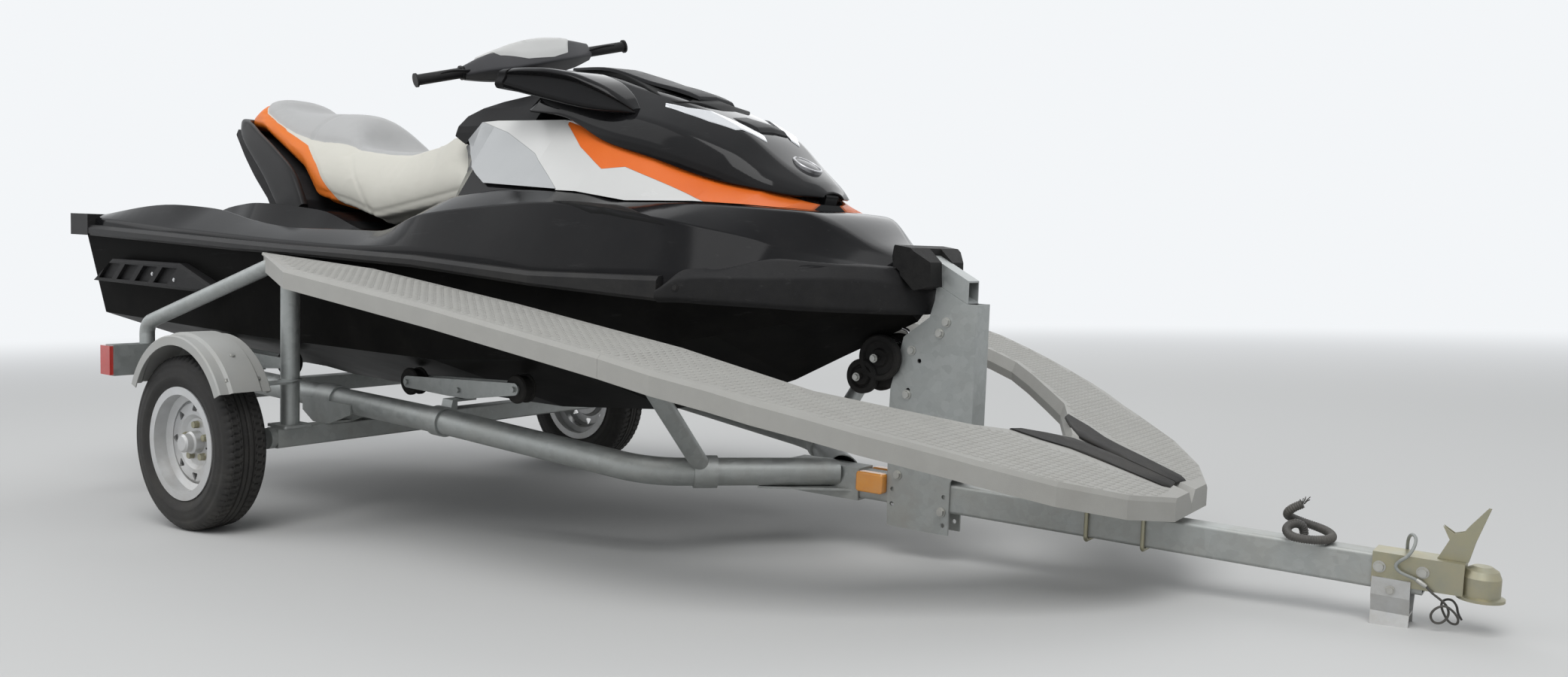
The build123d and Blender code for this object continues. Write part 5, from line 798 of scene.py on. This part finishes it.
# Bow fascia: charcoal plastic moulding round the bow under the pods, with an upper crease. A screw on each
# side holds its rear end.
fascia_rows = [
    (1560.6, (531, 776), (545, 786), (545, 800), (543, 806), (525, 812)),
    (1623, (506, 778), (520, 788), (520, 836), (514, 846), (494, 862)),
    (1682, (478, 776), (492, 786), (492, 846), (466, 858), (440, 868)),
    (1802, (405, 773), (419, 783), (418, 848), (364, 893), (340, 898)),
    (1862, (345, 769), (360, 779), (360, 850), (310, 890), (285, 896)),
    (1920, (286, 767), (300, 777), (300, 853), (258, 886), (225, 892)),
    (1985, (200, 765), (214, 775), (214, 850), (168, 882), (150, 886)),
    (2010, (164, 764), (178, 774), (178, 848), (140, 872), (120, 880)),
    (2035, (104, 763), (118, 773), (118, 838), (90, 856), (70, 862)),
    (2052, (20, 762), (34, 772), (34, 812), (16, 820), (10, 822)),
]
show_solid("bow_fascia_moulding", across_grid(fascia_rows, 8, 7), "trim_black", trim_black, replaces=["bow_fascia"])
fascia_spots = [(1612, side_y * 524.5, 815, 0.35, side_y, 0) for side_y in (1, -1)]
hex_bolts("fascia_screws", fascia_spots, 11.0, 4.0, "trim_black", rail_rubber)

# Side panels between the pods and the hood: painted plastic mouldings in silver and white, and an orange band
# at the nose, clipped to the front body.
panel_silver = finish("panel_silver", (0.36, 0.37, 0.375), (0.42, 0.43, 0.435), roughness=(0.28, 0.36), metallic=0.35,
                      mottled=(8.0, 1.0), dusty=(0.03, 1.2), scratched=0.04, grain=(900.0, 0.08))
panel_white = finish("panel_white", (0.60, 0.60, 0.585), (0.66, 0.66, 0.645), roughness=(0.22, 0.3),
                     mottled=(8.0, 1.0), scratched=0.03, specular=0.4)
panel_orange = finish("panel_orange", (0.72, 0.125, 0.012), (0.80, 0.17, 0.02), roughness=(0.3, 0.4),
                      mottled=(8.0, 1.0), dusty=(0.03, 1.2), scratched=0.03, grain=(260.0, 0.35), specular=0.4)
paint_nodes(panel_silver, "side_panel_silver")
paint_nodes(panel_white, "side_panel_white")
paint_nodes(panel_orange, "side_panel_orange")

# Hood over the storage tub: a gloss black moulded shell with a creased lower lip. It is hinged at the nose
# and opens forward.
lid_rows = [
    (800, (262, 1302), (200, 1362), (110, 1428), (0, 1436)),
    (948, (282, 1284), (228, 1344), (128, 1420), (0, 1428)),
    (1134, (283, 1203), (240, 1290), (140, 1374), (0, 1382)),
    (1301, (275, 1158), (235, 1252), (140, 1328), (0, 1336)),
    (1504, (245, 1099), (205, 1182), (130, 1242), (0, 1248)),
    (1620, (205, 1079), (165, 1120), (100, 1155), (0, 1164)),
    (1696, (132, 1064), (105, 1086), (60, 1104), (0, 1110)),
    (1728, (52, 1062), (40, 1072), (22, 1076), (0, 1078)),
]
hood_black = finish("hood_black", (0.006, 0.006, 0.007), (0.010, 0.010, 0.011), roughness=(0.07, 0.12),
                    mottled=(5.0, 1.0), dusty=(0.02, 1.4), scratched=0.05, specular=0.2)
show("hood_moulding", surface("hood", parked(across_grid(lid_rows, 10, (16, 18)))), "hull_black", hood_black,
     "storage_lid", wall=8.0, replaces=["storage_lid"])

# Hood vents: two stepped scoops in black plastic down the middle of the hood, each a dull cap over a darker
# core with open sides, clipped on.
cap_black = finish("cap_black", (0.012, 0.012, 0.013), (0.018, 0.018, 0.019), roughness=(0.38, 0.5), specular=0.08)
vent_black = finish("vent_core", (0.008, 0.008, 0.008), (0.013, 0.013, 0.013), roughness=(0.6, 0.7),
                    mottled=(20.0, 1.0), specular=0.15)
for name, paint, rows in (
    ("hood_vent_rear", vent_black, (
        (815, (88, 1400), (90, 1446), (0, 1449)), (950, (102, 1390), (104, 1439), (0, 1444)),
        (1134, (132, 1350), (134, 1381), (0, 1397)), (1170, (142, 1340), (146, 1365), (0, 1388)),
        (1280, (154, 1290), (158, 1325), (0, 1352)), (1335, (118, 1280), (122, 1323), (0, 1334)),
        (1376, (60, 1280), (64, 1306), (0, 1308)))),
    ("hood_cap_rear", cap_black, (
        (806, (92, 1440), (90, 1449), (0, 1456)), (950, (114, 1432), (110, 1442), (0, 1450)),
        (1134, (112, 1385), (108, 1395), (0, 1402)), (1301, (84, 1338), (80, 1347), (0, 1354)),
        (1308, (82, 1334), (80, 1338), (0, 1340)))),
    ("hood_vent_front", vent_black, (
        (1290, (84, 1290), (86, 1322), (0, 1326)), (1400, (80, 1250), (82, 1285), (0, 1289)),
        (1500, (66, 1215), (68, 1250), (0, 1254)), (1512, (64, 1210), (66, 1232), (0, 1236)))),
    ("hood_cap_front", cap_black, (
        (1286, (94, 1318), (92, 1327), (0, 1333)), (1400, (90, 1281), (86, 1290), (0, 1296)),
        (1504, (74, 1247), (70, 1256), (0, 1262)), (1516, (70, 1238), (68, 1242), (0, 1246)))),
):
    show_solid(name, across_grid(rows, 6, 5), "trim_black", paint, "storage_lid", sharp=30.0)

# Bright trim: a thin silvered plastic strip glued along each ridge of the hood, wider towards the nose. Its
# lanes (share across, rise) follow the hood's skin.
trim_silver = finish("bright_trim", (0.70, 0.71, 0.73), (0.78, 0.79, 0.80), roughness=(0.15, 0.22), metallic=0.6)
hood_at = height_on(lid_rows, 10)
strip_run, strip_knots, strip_lift = np.linspace(0, 1, 48), (0.0, 0.25, 0.5, 0.72, 1.0), 2.2
strip_in, strip_out = [
    np.stack([np.interp(strip_run, strip_knots, values) for values in edge], -1)
    for edge in (((1258, 1330, 1400, 1456, 1530), (172, 161, 136, 106, 66)),
                 ((1264, 1338, 1412, 1488, 1552), (180, 176, 165, 143, 80)))]
lanes = np.array([(0.0, -3.0), (0.0, 1.0), (0.1, 1.6), (0.3, 1.8), (0.5, 1.8), (0.7, 1.8), (0.9, 1.6), (1.0, 1.0),
                  (1.0, -3.0)])
strip_x, strip_y = np.moveaxis(strip_in[:, None] + (strip_out - strip_in)[:, None] * lanes[None, :, :1], -1, 0)
strip_z = hood_at(strip_x, strip_y) + lanes[:, 1] + strip_lift
for side_name, side_y in SIDES:
    show_solid(f"hood_strip_{side_name}", np.stack([strip_x, side_y * strip_y, strip_z], -1), "panel_silver",
               trim_silver, "storage_lid")

# Plain round disc on the hood's nose: a smoked plastic lens set in a bright metal ring, left blank. Both are
# turned shapes, as rings of (radius, height).
disc_grey = finish("disc_lens", (0.03, 0.03, 0.034), (0.05, 0.05, 0.055), roughness=(0.12, 0.2), mottled=(40.0, 1.0),
                   specular=0.15)
ring_metal = finish("ring_metal", (0.34, 0.34, 0.35), (0.42, 0.42, 0.43), roughness=(0.25, 0.35), metallic=0.8)
disc_turn = np.linspace(0, 2 * np.pi, 48, endpoint=False)
disc_middle = np.array((1636.0, 0.0, 1153.0))
disc_ahead, disc_up = np.array((0.88, 0.0, -0.475)), np.array((0.475, 0.0, 0.88))
for name, paint, slot, rings in (
    ("nose_ring", ring_metal, "panel_silver", ((46, -6), (46, 3), (44, 5), (40, 5), (38.5, 3), (38.5, -6))),
    ("nose_disc", disc_grey, "hull_black", ((38.3, -6), (38.3, 2.4), (30, 4.2), (16, 5.6), (4, 6.0))),
):
    rings = np.array(rings, float)
    disc = (disc_middle + rings[:, :1, None] * (np.cos(disc_turn)[None, :, None] * disc_ahead
            + np.sin(disc_turn)[None, :, None] * (0.0, 1.0, 0.0)) + rings[:, 1:, None] * disc_up)
    if name == "nose_ring":
        disc = np.concatenate([disc, disc[:1]])
    show(name, surface(name, parked(disc), around=True, ends=name == "nose_disc", solid=True), slot, paint,
         "storage_lid", sharp=40.0)


# Mirrors: gloss black pointed housings on the hood's shoulders, each hollowed along its outer side, with a
# dull frame at the back that holds the glass.
def closed_loops(values, corner):
    """Rows of (a, b) points as loops: each is closed past its first point and its corners are rounded."""
    loops = values.reshape(len(values), -1, 2)
    return rounded(np.concatenate([loops[:, -1:], loops, loops[:, :1]], axis=1), corner)[:, :-1]


mirror_rows = [  # x, then (port, up): inner top, ridge, under the ridge, hollow, lip, outer foot, inner foot
    (806, (205, 1412), (378, 1404), (392, 1396), (386, 1384), (388, 1368), (372, 1358), (205, 1356)),
    (850, (205, 1416), (378, 1408), (392, 1398), (376, 1388), (380, 1362), (366, 1348), (205, 1342)),
    (940, (205, 1414), (364, 1407), (378, 1396), (352, 1384), (360, 1340), (350, 1326), (205, 1320)),
    (1030, (205, 1406), (334, 1396), (348, 1384), (318, 1370), (328, 1316), (320, 1302), (205, 1298)),
    (1110, (205, 1382), (298, 1366), (312, 1352), (286, 1340), (294, 1300), (286, 1288), (205, 1284)),
    (1170, (205, 1340), (258, 1326), (270, 1316), (254, 1308), (258, 1292), (250, 1284), (205, 1280)),
    (1196, (205, 1302), (232, 1298), (240, 1294), (232, 1290), (232, 1286), (226, 1283), (205, 1280)),
]
mirror_run, mirror_values = fair(mirror_rows, 8)
mirror_port, mirror_up = np.moveaxis(closed_loops(mirror_values, 7), -1, 0)
# Behind x 1000 the housing leans back more and more, about the height of its middle.
lean_start, lean_length, mirror_middle = 1000, 194, 1386
lean_back = 0.8 * np.clip((lean_start - mirror_run) / lean_length, 0, 1)[:, None]
mirror_x = mirror_run[:, None] + lean_back * (mirror_up - mirror_middle)
mirror_glass = finish("mirror_glass", (0.55, 0.57, 0.60), (0.60, 0.62, 0.64), roughness=(0.04, 0.08), metallic=1.0,
                      mottled=(20.0, 1.0))
frame_back = 14.0
for side_name, side_y in SIDES:
    skin = np.stack([mirror_x, side_y * mirror_port, mirror_up], -1)
    show_solid(f"mirror_skin_{side_name}", skin, "hull_black", hood_black, "storage_lid", sharp=32.0,
               replaces=["mirror_housings"])
    rim, middle = skin[2], skin[2].mean(0)
    for part, slot, paint, rings in (
        ("frame", "trim_black", trim_black, ((30.0, 1.01), (30.0, 1.06), (0.0, 1.06), (-4.0, 1.0), (-4.0, 0.86),
                                             (4.0, 0.84), (4.0, 0.01))),
        ("glass", "panel_silver", mirror_glass, ((3.0, 0.84), (-1.0, 0.83), (-1.5, 0.80), (-1.5, 0.01))),
    ):
        ahead, share = np.array(rings)[:, None, :1], np.array(rings)[:, None, 1:]
        rings = middle + share * (rim - middle) + (ahead - frame_back) * (1.0, 0.0, 0.0)
        show_solid(f"mirror_{part}_{side_name}", rings, slot, paint, "storage_lid", sharp=35.0)

# Handlebar: black painted steel tube on its raked column, turned to starboard. A faceted cover of grained
# plastic encloses its middle, and a light pad is fixed over the cover's top and brow.
bar_black = finish("bar_paint", (0.012, 0.012, 0.012), (0.02, 0.02, 0.02), roughness=(0.3, 0.4), metallic=0.2,
                   mottled=(20.0, 1.0))
paint_nodes(bar_black, "handlebar")
cover_grey = finish("cover_grained", (0.052, 0.052, 0.056), (0.068, 0.068, 0.072), roughness=(0.42, 0.52),
                    mottled=(40.0, 1.0), dusty=(0.03, 1.6), scratched=0.03, grain=(520.0, 0.4), specular=0.2)
RAKE, STEER = np.radians(39.7), np.radians(-23.8)
COLUMN_X, COLUMN_Z = 493, 1493


def on_bar(points):
    """Points (forward, port, above) square to the steering axis, turned with the bar about that axis and
    raked back with it, as level millimetres."""
    a, b, c = np.moveaxis(np.asarray(points, float), -1, 0)
    a, b = a * np.cos(STEER) - b * np.sin(STEER), a * np.sin(STEER) + b * np.cos(STEER)
    return np.stack([COLUMN_X + a * np.cos(RAKE) - c * np.sin(RAKE), b,
                     COLUMN_Z + a * np.sin(RAKE) + c * np.cos(RAKE)], -1)


def across_bar(loops, port):
    """Loops of (forward, above) at their places to port, as level millimetres."""
    port = np.broadcast_to(port[:, None], loops.shape[:2])
    return on_bar(np.stack([loops[..., 0], port, loops[..., 1]], -1))


pad_grey = finish("bar_pad", (0.60, 0.60, 0.585), (0.66, 0.66, 0.645), roughness=(0.45, 0.55), mottled=(20.0, 1.0),
                  dusty=(0.03, 1.6), scratched=0.02, grain=(700.0, 0.3), specular=0.35)
cover_rows = [  # port, then (forward, above): rear bottom, rear top, front top, brow, front foot, under
    (-217, (-24, -14), (-18, 18), (10, 18), (28, 4), (20, -26), (-4, -24)),
    (-150, (-46, -14), (-34, 28), (28, 30), (62, 4), (48, -48), (-10, -40)),
    (-62, (-70, -10), (-52, 47), (38, 43), (92, 6), (74, -74), (-10, -58)),
    (0, (-76, -10), (-56, 52), (42, 48), (98, 8), (80, -78), (-10, -62)),
    (62, (-70, -10), (-52, 50), (38, 46), (92, 8), (76, -74), (-10, -58)),
    (150, (-46, -14), (-34, 38), (30, 36), (66, 10), (56, -58), (-10, -48)),
    (226, (-24, -14), (-16, 26), (14, 26), (34, 10), (28, -34), (-4, -30)),
]
cover_run, cover_values = fair(cover_rows, 8)
show_solid("handlebar_cover_skin", across_bar(closed_loops(cover_values, 9), cover_run), "cover_grey", cover_grey,
           "steering", sharp=28.0, replaces=["handlebar_cover"])
pad_starboard, pad_port, pad_steps = -185, 152, 30
pad_y = np.linspace(pad_starboard, pad_port, 55)
corners = np.stack([np.interp(pad_y, cover_run, cover_values[:, k]) for k in range(2, 10)], -1)
corners = corners.reshape(-1, 4, 2)
# The pad lies on the cover's faces from its rear top over the brow: faces says how many it covers.
faces = np.interp(pad_y, (-185, -160, -110, -30, 60, 120, 152), (0.3, 1.5, 2.3, 2.72, 2.82, 2.7, 1.8))
spot = faces[:, None] * np.linspace(0.04, 1.0, pad_steps)[None]
corner_index = np.minimum(spot.astype(int), 2)
share = (spot - corner_index)[..., None]
each = np.arange(len(pad_y))[:, None]
pad_path = corners[each, corner_index] * (1 - share) + corners[each, corner_index + 1] * share
pad_ahead = unit(np.gradient(pad_path, axis=1))
pad_out = np.stack([-pad_ahead[..., 1], pad_ahead[..., 0]], -1)
pad_out = pad_out * np.sign(pad_out[..., 1:] + pad_out[..., :1])
edge_fade = np.minimum(1.0, np.minimum(np.linspace(0, 12, pad_steps), np.linspace(12, 0, pad_steps)))[None]
side_fade = np.clip(np.minimum(pad_y - pad_starboard, pad_port - pad_y) / 8.0, 0, 1)[:, None]
pad_lift = (0.8 + 3.2 * edge_fade * side_fade)[..., None]
pad_loops = np.concatenate([pad_path + pad_lift * pad_out, (pad_path - 5.0 * pad_out)[:, ::-1]], axis=1)
show_solid("bar_pad", across_bar(pad_loops, pad_y), "cover_grey", pad_grey, "steering", sharp=50.0)

# Hand levers: slim cast levers, coated black and pivoted beside the grips, the brake's to port and the
# throttle's to starboard.
lever_run = np.linspace(0, 1, 24)
lever_flat = np.interp(lever_run, (0, 0.1, 0.8, 1.0), (9.0, 6.5, 5.0, 3.0))[:, None]
lever_turn = np.linspace(0, 2 * np.pi, 14, endpoint=False)
lever_ring = np.stack([lever_flat * np.cos(lever_turn), 0 * lever_flat * lever_turn,
                       0.6 * lever_flat * np.sin(lever_turn)], -1)
for side_name, side_y in SIDES:
    lever_path = np.stack([20 + 26 * np.sin(np.pi * 0.55 * lever_run), side_y * (205 + 105 * lever_run),
                           -16 - 10 * lever_run], -1)
    show_solid(f"hand_lever_{side_name}", on_bar(lever_path[:, None] + lever_ring), "trim_black", trim_black,
               "steering")

# Rear fairing: satin black moulding behind the seat. Two horns rise from the deck beside the seat and meet
# in a grab handle round its back, over a slanted panel that closes the space under it.
horn_line = np.array([
    (-372, -258, 968), (-402, -258, 1003), (-448, -255, 1061), (-545, -249, 1145), (-656, -240, 1222),
    (-738, -224, 1272), (-805, -184, 1292), (-850, -104, 1298), (-866, 0, 1300),
], float)
horn_wide = np.array([58, 68, 72, 58, 44, 34, 28, 25, 24], float)
horn_thick = np.array([20, 20, 20, 19, 18, 18, 18, 18, 18], float)
horn_run = np.concatenate([[0.0], np.cumsum(np.linalg.norm(np.diff(horn_line, axis=0), axis=1))])
horn = fair([(r, *p, w, q) for r, p, w, q in zip(horn_run, horn_line, horn_wide, horn_thick)], 9)[1]
horn = np.concatenate([horn, horn[-2::-1] * (1, -1, 1, 1, 1)])
horn_ahead = unit(np.gradient(horn[:, :3], axis=0))
plan_out = (horn[:, :3] - (-560.0, 0.0, 0.0)) * (0.35, 1.0, 0.0)
plan_out[:, 0] = np.where(np.abs(horn[:, 1]) > 225, 0.0, plan_out[:, 0])
plan_out = unit(plan_out - (plan_out * horn_ahead).sum(1)[:, None] * horn_ahead)
horn_up = np.cross(horn_ahead, plan_out)
horn_turn = np.linspace(0, 2 * np.pi, 28, endpoint=False)
flat_round = [np.sign(wave) * np.abs(wave) ** 0.6 for wave in (np.cos(horn_turn), np.sin(horn_turn))]
horn_grid = (horn[:, None, :3] + horn[:, 3:4, None] * flat_round[0][None, :, None] * horn_up[:, None]
             + horn[:, 4:5, None] * flat_round[1][None, :, None] * plan_out[:, None])
show_solid("grab_handle_rim", horn_grid, "trim_black", rail_rubber, sharp=60.0, replaces=["grab_handle"])
core_line = subdivided([
    (-345, 985), (-352, 1024), (-432, 1110), (-560, 1182), (-690, 1240), (-780, 1262), (-832, 1280), (-840, 1262),
    (-760, 1180), (-660, 1090), (-575, 1020), (-545, 985), (-450, 980),
], 4)
core_wide = np.interp(core_line[:, 1], (985, 1120, 1300), (250, 236, 205))
core_y = np.array((-1.0, -0.98, -0.5, 0.0, 0.5, 0.98, 1.0))[:, None]
core_in = np.array((0.97, 1.0, 1.0, 1.0, 1.0, 1.0, 0.97))[:, None, None]
core_x, core_z = np.moveaxis(core_line.mean(0) + (core_line - core_line.mean(0)) * core_in, -1, 0)
show_solid("grab_handle_core", np.stack([core_x, core_y * core_wide, core_z], -1), "trim_black", trim_black,
           sharp=40.0)

# Seat: a foam cushion on a shell, sewn from coated cloth: cream sides, light grey raised inserts for driver
# and passenger, and orange rear sides. It swells under its cover, and the seams draw it in.
seat_x = np.linspace(-1028, 584, 130)


def along(x, *knots):
    """Smooth value at x along knots (x, value)."""
    fine, value = fair(knots, 8)
    return np.interp(x, fine, value[:, 0])


seat_foot = np.interp(seat_x, (-1040, -700, -428, -337, -115, 14, 488, 588),
                      (1302, 1285, 1133, 1030, 987, 950, 1038, 1104))
seat_rim = along(seat_x, (-1035, 1322), (-930, 1348), (-850, 1354), (-760, 1348), (-683, 1330), (-514, 1259),
                 (-332, 1214), (-157, 1193), (99, 1176), (271, 1197), (378, 1228), (430, 1220), (490, 1178),
                 (590, 1108))
foot_wide = np.interp(seat_x, (-1030, -900, -700, -430, -300, 500, 588), (120, 168, 190, 205, 222, 222, 205))
rim_wide = np.interp(seat_x, (-1030, -960, -850, -640, 378, 588), (86, 120, 150, 172, 172, 178))
belly = np.interp(seat_x, (-1030, -700, -300, 500, 588), (8, 22, 34, 34, 22))
t = np.linspace(0, 1, 14)[None]
foot_y, foot_z, rim_y, rim_z = [one[:, None] for one in (foot_wide, seat_foot, rim_wide, seat_rim)]
bottom = np.stack([foot_y * t, foot_z + 0 * t], -1)
bulge = belly[:, None] * 4 * t * (1 - t) * 0.9
side = np.stack([foot_y + (rim_y - foot_y) * t ** 1.3 + bulge, foot_z + (rim_z - foot_z) * t], -1)
top_y = rim_y * (1 - np.linspace(0, 1, 18)[None])
ahead = seat_x[:, None] - 105 * (top_y / 172) ** 2
crown = along(ahead, (-1150, 1300), (-1035, 1324), (-1000, 1362), (-950, 1390), (-880, 1399), (-800, 1399),
              (-760, 1388), (-720, 1362), (-660, 1345), (-578, 1341), (-470, 1338), (-330, 1333), (-295, 1322),
              (-262, 1285), (-238, 1232), (-212, 1203), (-150, 1194), (0, 1184), (99, 1182), (271, 1203),
              (378, 1234), (430, 1226), (500, 1176), (586, 1110))
arch = 1 - (top_y / rim_y) ** 2.6
top = np.stack([top_y, rim_z + (crown - rim_z) * arch], -1)
half = np.concatenate([bottom[:, :-1], side[:, :-1], top], axis=1)
ring = np.concatenate([half, half[:, -2:0:-1] * (-1, 1)], axis=1)
seat_grid = np.concatenate([np.broadcast_to(seat_x[:, None, None], (*ring.shape[:2], 1)), ring], axis=2)
# Behind x -700 the cushion is drawn in forwards by a share of the distance.
rear_start, rear_share = -700, 0.42
seat_grid[..., 0] -= np.minimum(seat_grid[..., 0] - rear_start, 0) * rear_share
seat_middle, room_to_swell = np.array((-150.0, 0.0, 1180.0)), (0.996, 0.985, 0.985)
seat_grid = seat_middle + (seat_grid - seat_middle) * room_to_swell
seat_mesh = surface("seat_cushion", parked(seat_grid), around=True, ends=True, solid=True)
seat_object = bpy.data.objects.new("seat_blank", seat_mesh)
scene.collection.objects.link(seat_object)
remesh = seat_object.modifiers.new("even", "REMESH")
remesh.mode = "VOXEL"
remesh.voxel_size = 0.010
bpy.context.view_layer.update()
seat_mesh = made_mesh(seat_object)
bpy.data.objects.remove(seat_object)
# The cover swells under pressure, by at most 12 mm, and then each seam draws it in by its own depth.
cushion = vertex_rows(seat_mesh)
most_swell = 0.012
swell_object = bpy.data.objects.new("seat_swell", seat_mesh.copy())
scene.collection.objects.link(swell_object)
swell = swell_object.modifiers.new("swell", "CLOTH")
swell.settings.use_pressure = True
swell.settings.uniform_pressure_force = 4.0
swell.settings.effector_weights.gravity = 0.0
swell.collision_settings.use_collision = False
swell.collision_settings.use_self_collision = False
swell_frames = 20
for frame_number in range(1, swell_frames + 1):
    scene.frame_set(frame_number)
moved = vertex_rows(made_mesh(swell_object)) - cushion
length = np.linalg.norm(moved, axis=1, keepdims=True)
cushion = cushion + moved * np.minimum(1.0, most_swell / np.maximum(length, 1e-9))
bpy.data.objects.remove(swell_object)
scene.frame_set(1)


def level(points):
    """The row frame in metres back to level millimetres."""
    x, y, z = np.moveaxis(points * 1000.0, -1, 0)
    x, z = x + MIDDLE_X, z - WHEEL_RADIUS
    return np.stack([x * np.cos(LEAN) - z * np.sin(LEAN), y, WHEEL_RADIUS + x * np.sin(LEAN) + z * np.cos(LEAN)], -1)


def from_line(points, line, closed=False):
    """Distance of flat points from a polyline, positive on its left or, if it is closed, inside it."""
    line = np.array(line, float)
    start, stop = (line, np.roll(line, -1, axis=0)) if closed else (line[:-1], line[1:])
    way, reach = stop - start, points[:, None] - start
    share = np.clip((reach * way).sum(2) / (way ** 2).sum(1), 0, 1)
    gap = reach - share[..., None] * way
    nearest = np.argmin((gap ** 2).sum(2), axis=1)
    far = np.sqrt((gap ** 2).sum(2))[np.arange(len(points)), nearest]
    turn = (way[:, 0] * reach[..., 1] - way[:, 1] * reach[..., 0])[np.arange(len(points)), nearest]
    if closed:
        above = (start[:, 1] > points[:, None, 1]) != (stop[:, 1] > points[:, None, 1])
        cross = reach[..., 0] < reach[..., 1] * way[:, 0] / np.where(way[:, 1] == 0, 1e-9, way[:, 1])
        turn = np.where((above & cross).sum(1) % 2 == 1, 1.0, -1.0)
    return far * np.sign(turn)


flat_points = level(cushion)
plan = np.stack([flat_points[:, 0], np.abs(flat_points[:, 1])], -1)
profile = flat_points[:, ::2]
facing_up = flat_points[:, 2] > np.interp(flat_points[:, 0], seat_x, seat_rim) - 12
insert_edge = from_line(plan, [(318, -40), (318, 100), (290, 148), (150, 163), (-300, 165), (-640, 163), (-735, 146),
                               (-788, 112), (-820, 60), (-830, -40)], closed=True)
insert_edge = np.where(facing_up, insert_edge, -np.abs(insert_edge) - 20)
orange_edge = from_line(profile, [(-130, 940), (-160, 986), (-228, 1041), (-326, 1135), (-427, 1219), (-572, 1275),
                                  (-640, 1322), (-700, 1352), (-760, 1384), (-790, 1440)])
orange_edge = np.minimum(orange_edge, -insert_edge - 3)
bolster_seam = from_line(plan, [(-395, -10), (-410, 70), (-440, 180)])
side_seam = from_line(profile, [(8, 940), (-60, 1050), (-143, 1156), (-175, 1200)])
rise = flat_points[:, 2] - np.interp(flat_points[:, 0], seat_x, seat_foot)
welt = np.where(np.abs(flat_points[:, 1]) > 150, rise - 34, 99.0)
dip = (5.0 * np.exp(-(insert_edge / 7) ** 2) + 3.5 * np.exp(-(orange_edge / 6) ** 2)
       + 7.0 * np.exp(-(bolster_seam / 9) ** 2) * (insert_edge > 0)
       + 3.0 * np.exp(-(side_seam / 6) ** 2) * (insert_edge < -5) + 3.0 * np.exp(-(welt / 6) ** 2))
seat_points = cushion - vertex_rows(seat_mesh, "normal") * dip[:, None] / 1000.0
seat_mesh.vertices.foreach_set("co", seat_points.ravel())
seat_mesh.update()
for label, values in (("insert_edge", insert_edge), ("orange_edge", orange_edge)):
    seat_mesh.attributes.new(label, "FLOAT", "POINT").data.foreach_set("value", values)
seat_cloth = finish("seat_cloth", (0.66, 0.645, 0.57), (0.71, 0.69, 0.62), roughness=(0.42, 0.52),
                    mottled=(18.0, 1.0), dusty=(0.03, 1.6), grain=(900.0, 0.35), specular=0.35, zones=(
                        ("orange_edge", (0.78, 0.17, 0.012), (0.84, 0.21, 0.02)),
                        ("insert_edge", (0.44, 0.44, 0.435), (0.49, 0.49, 0.485))))
seat = show("seat_cushion", seat_mesh, "seat_vinyl", seat_cloth, sharp=180.0, replaces=["seat"])
softer = seat.modifiers.new("softer", "SUBSURF")
softer.levels = softer.render_levels = 1

bpy.context.view_layer.update()
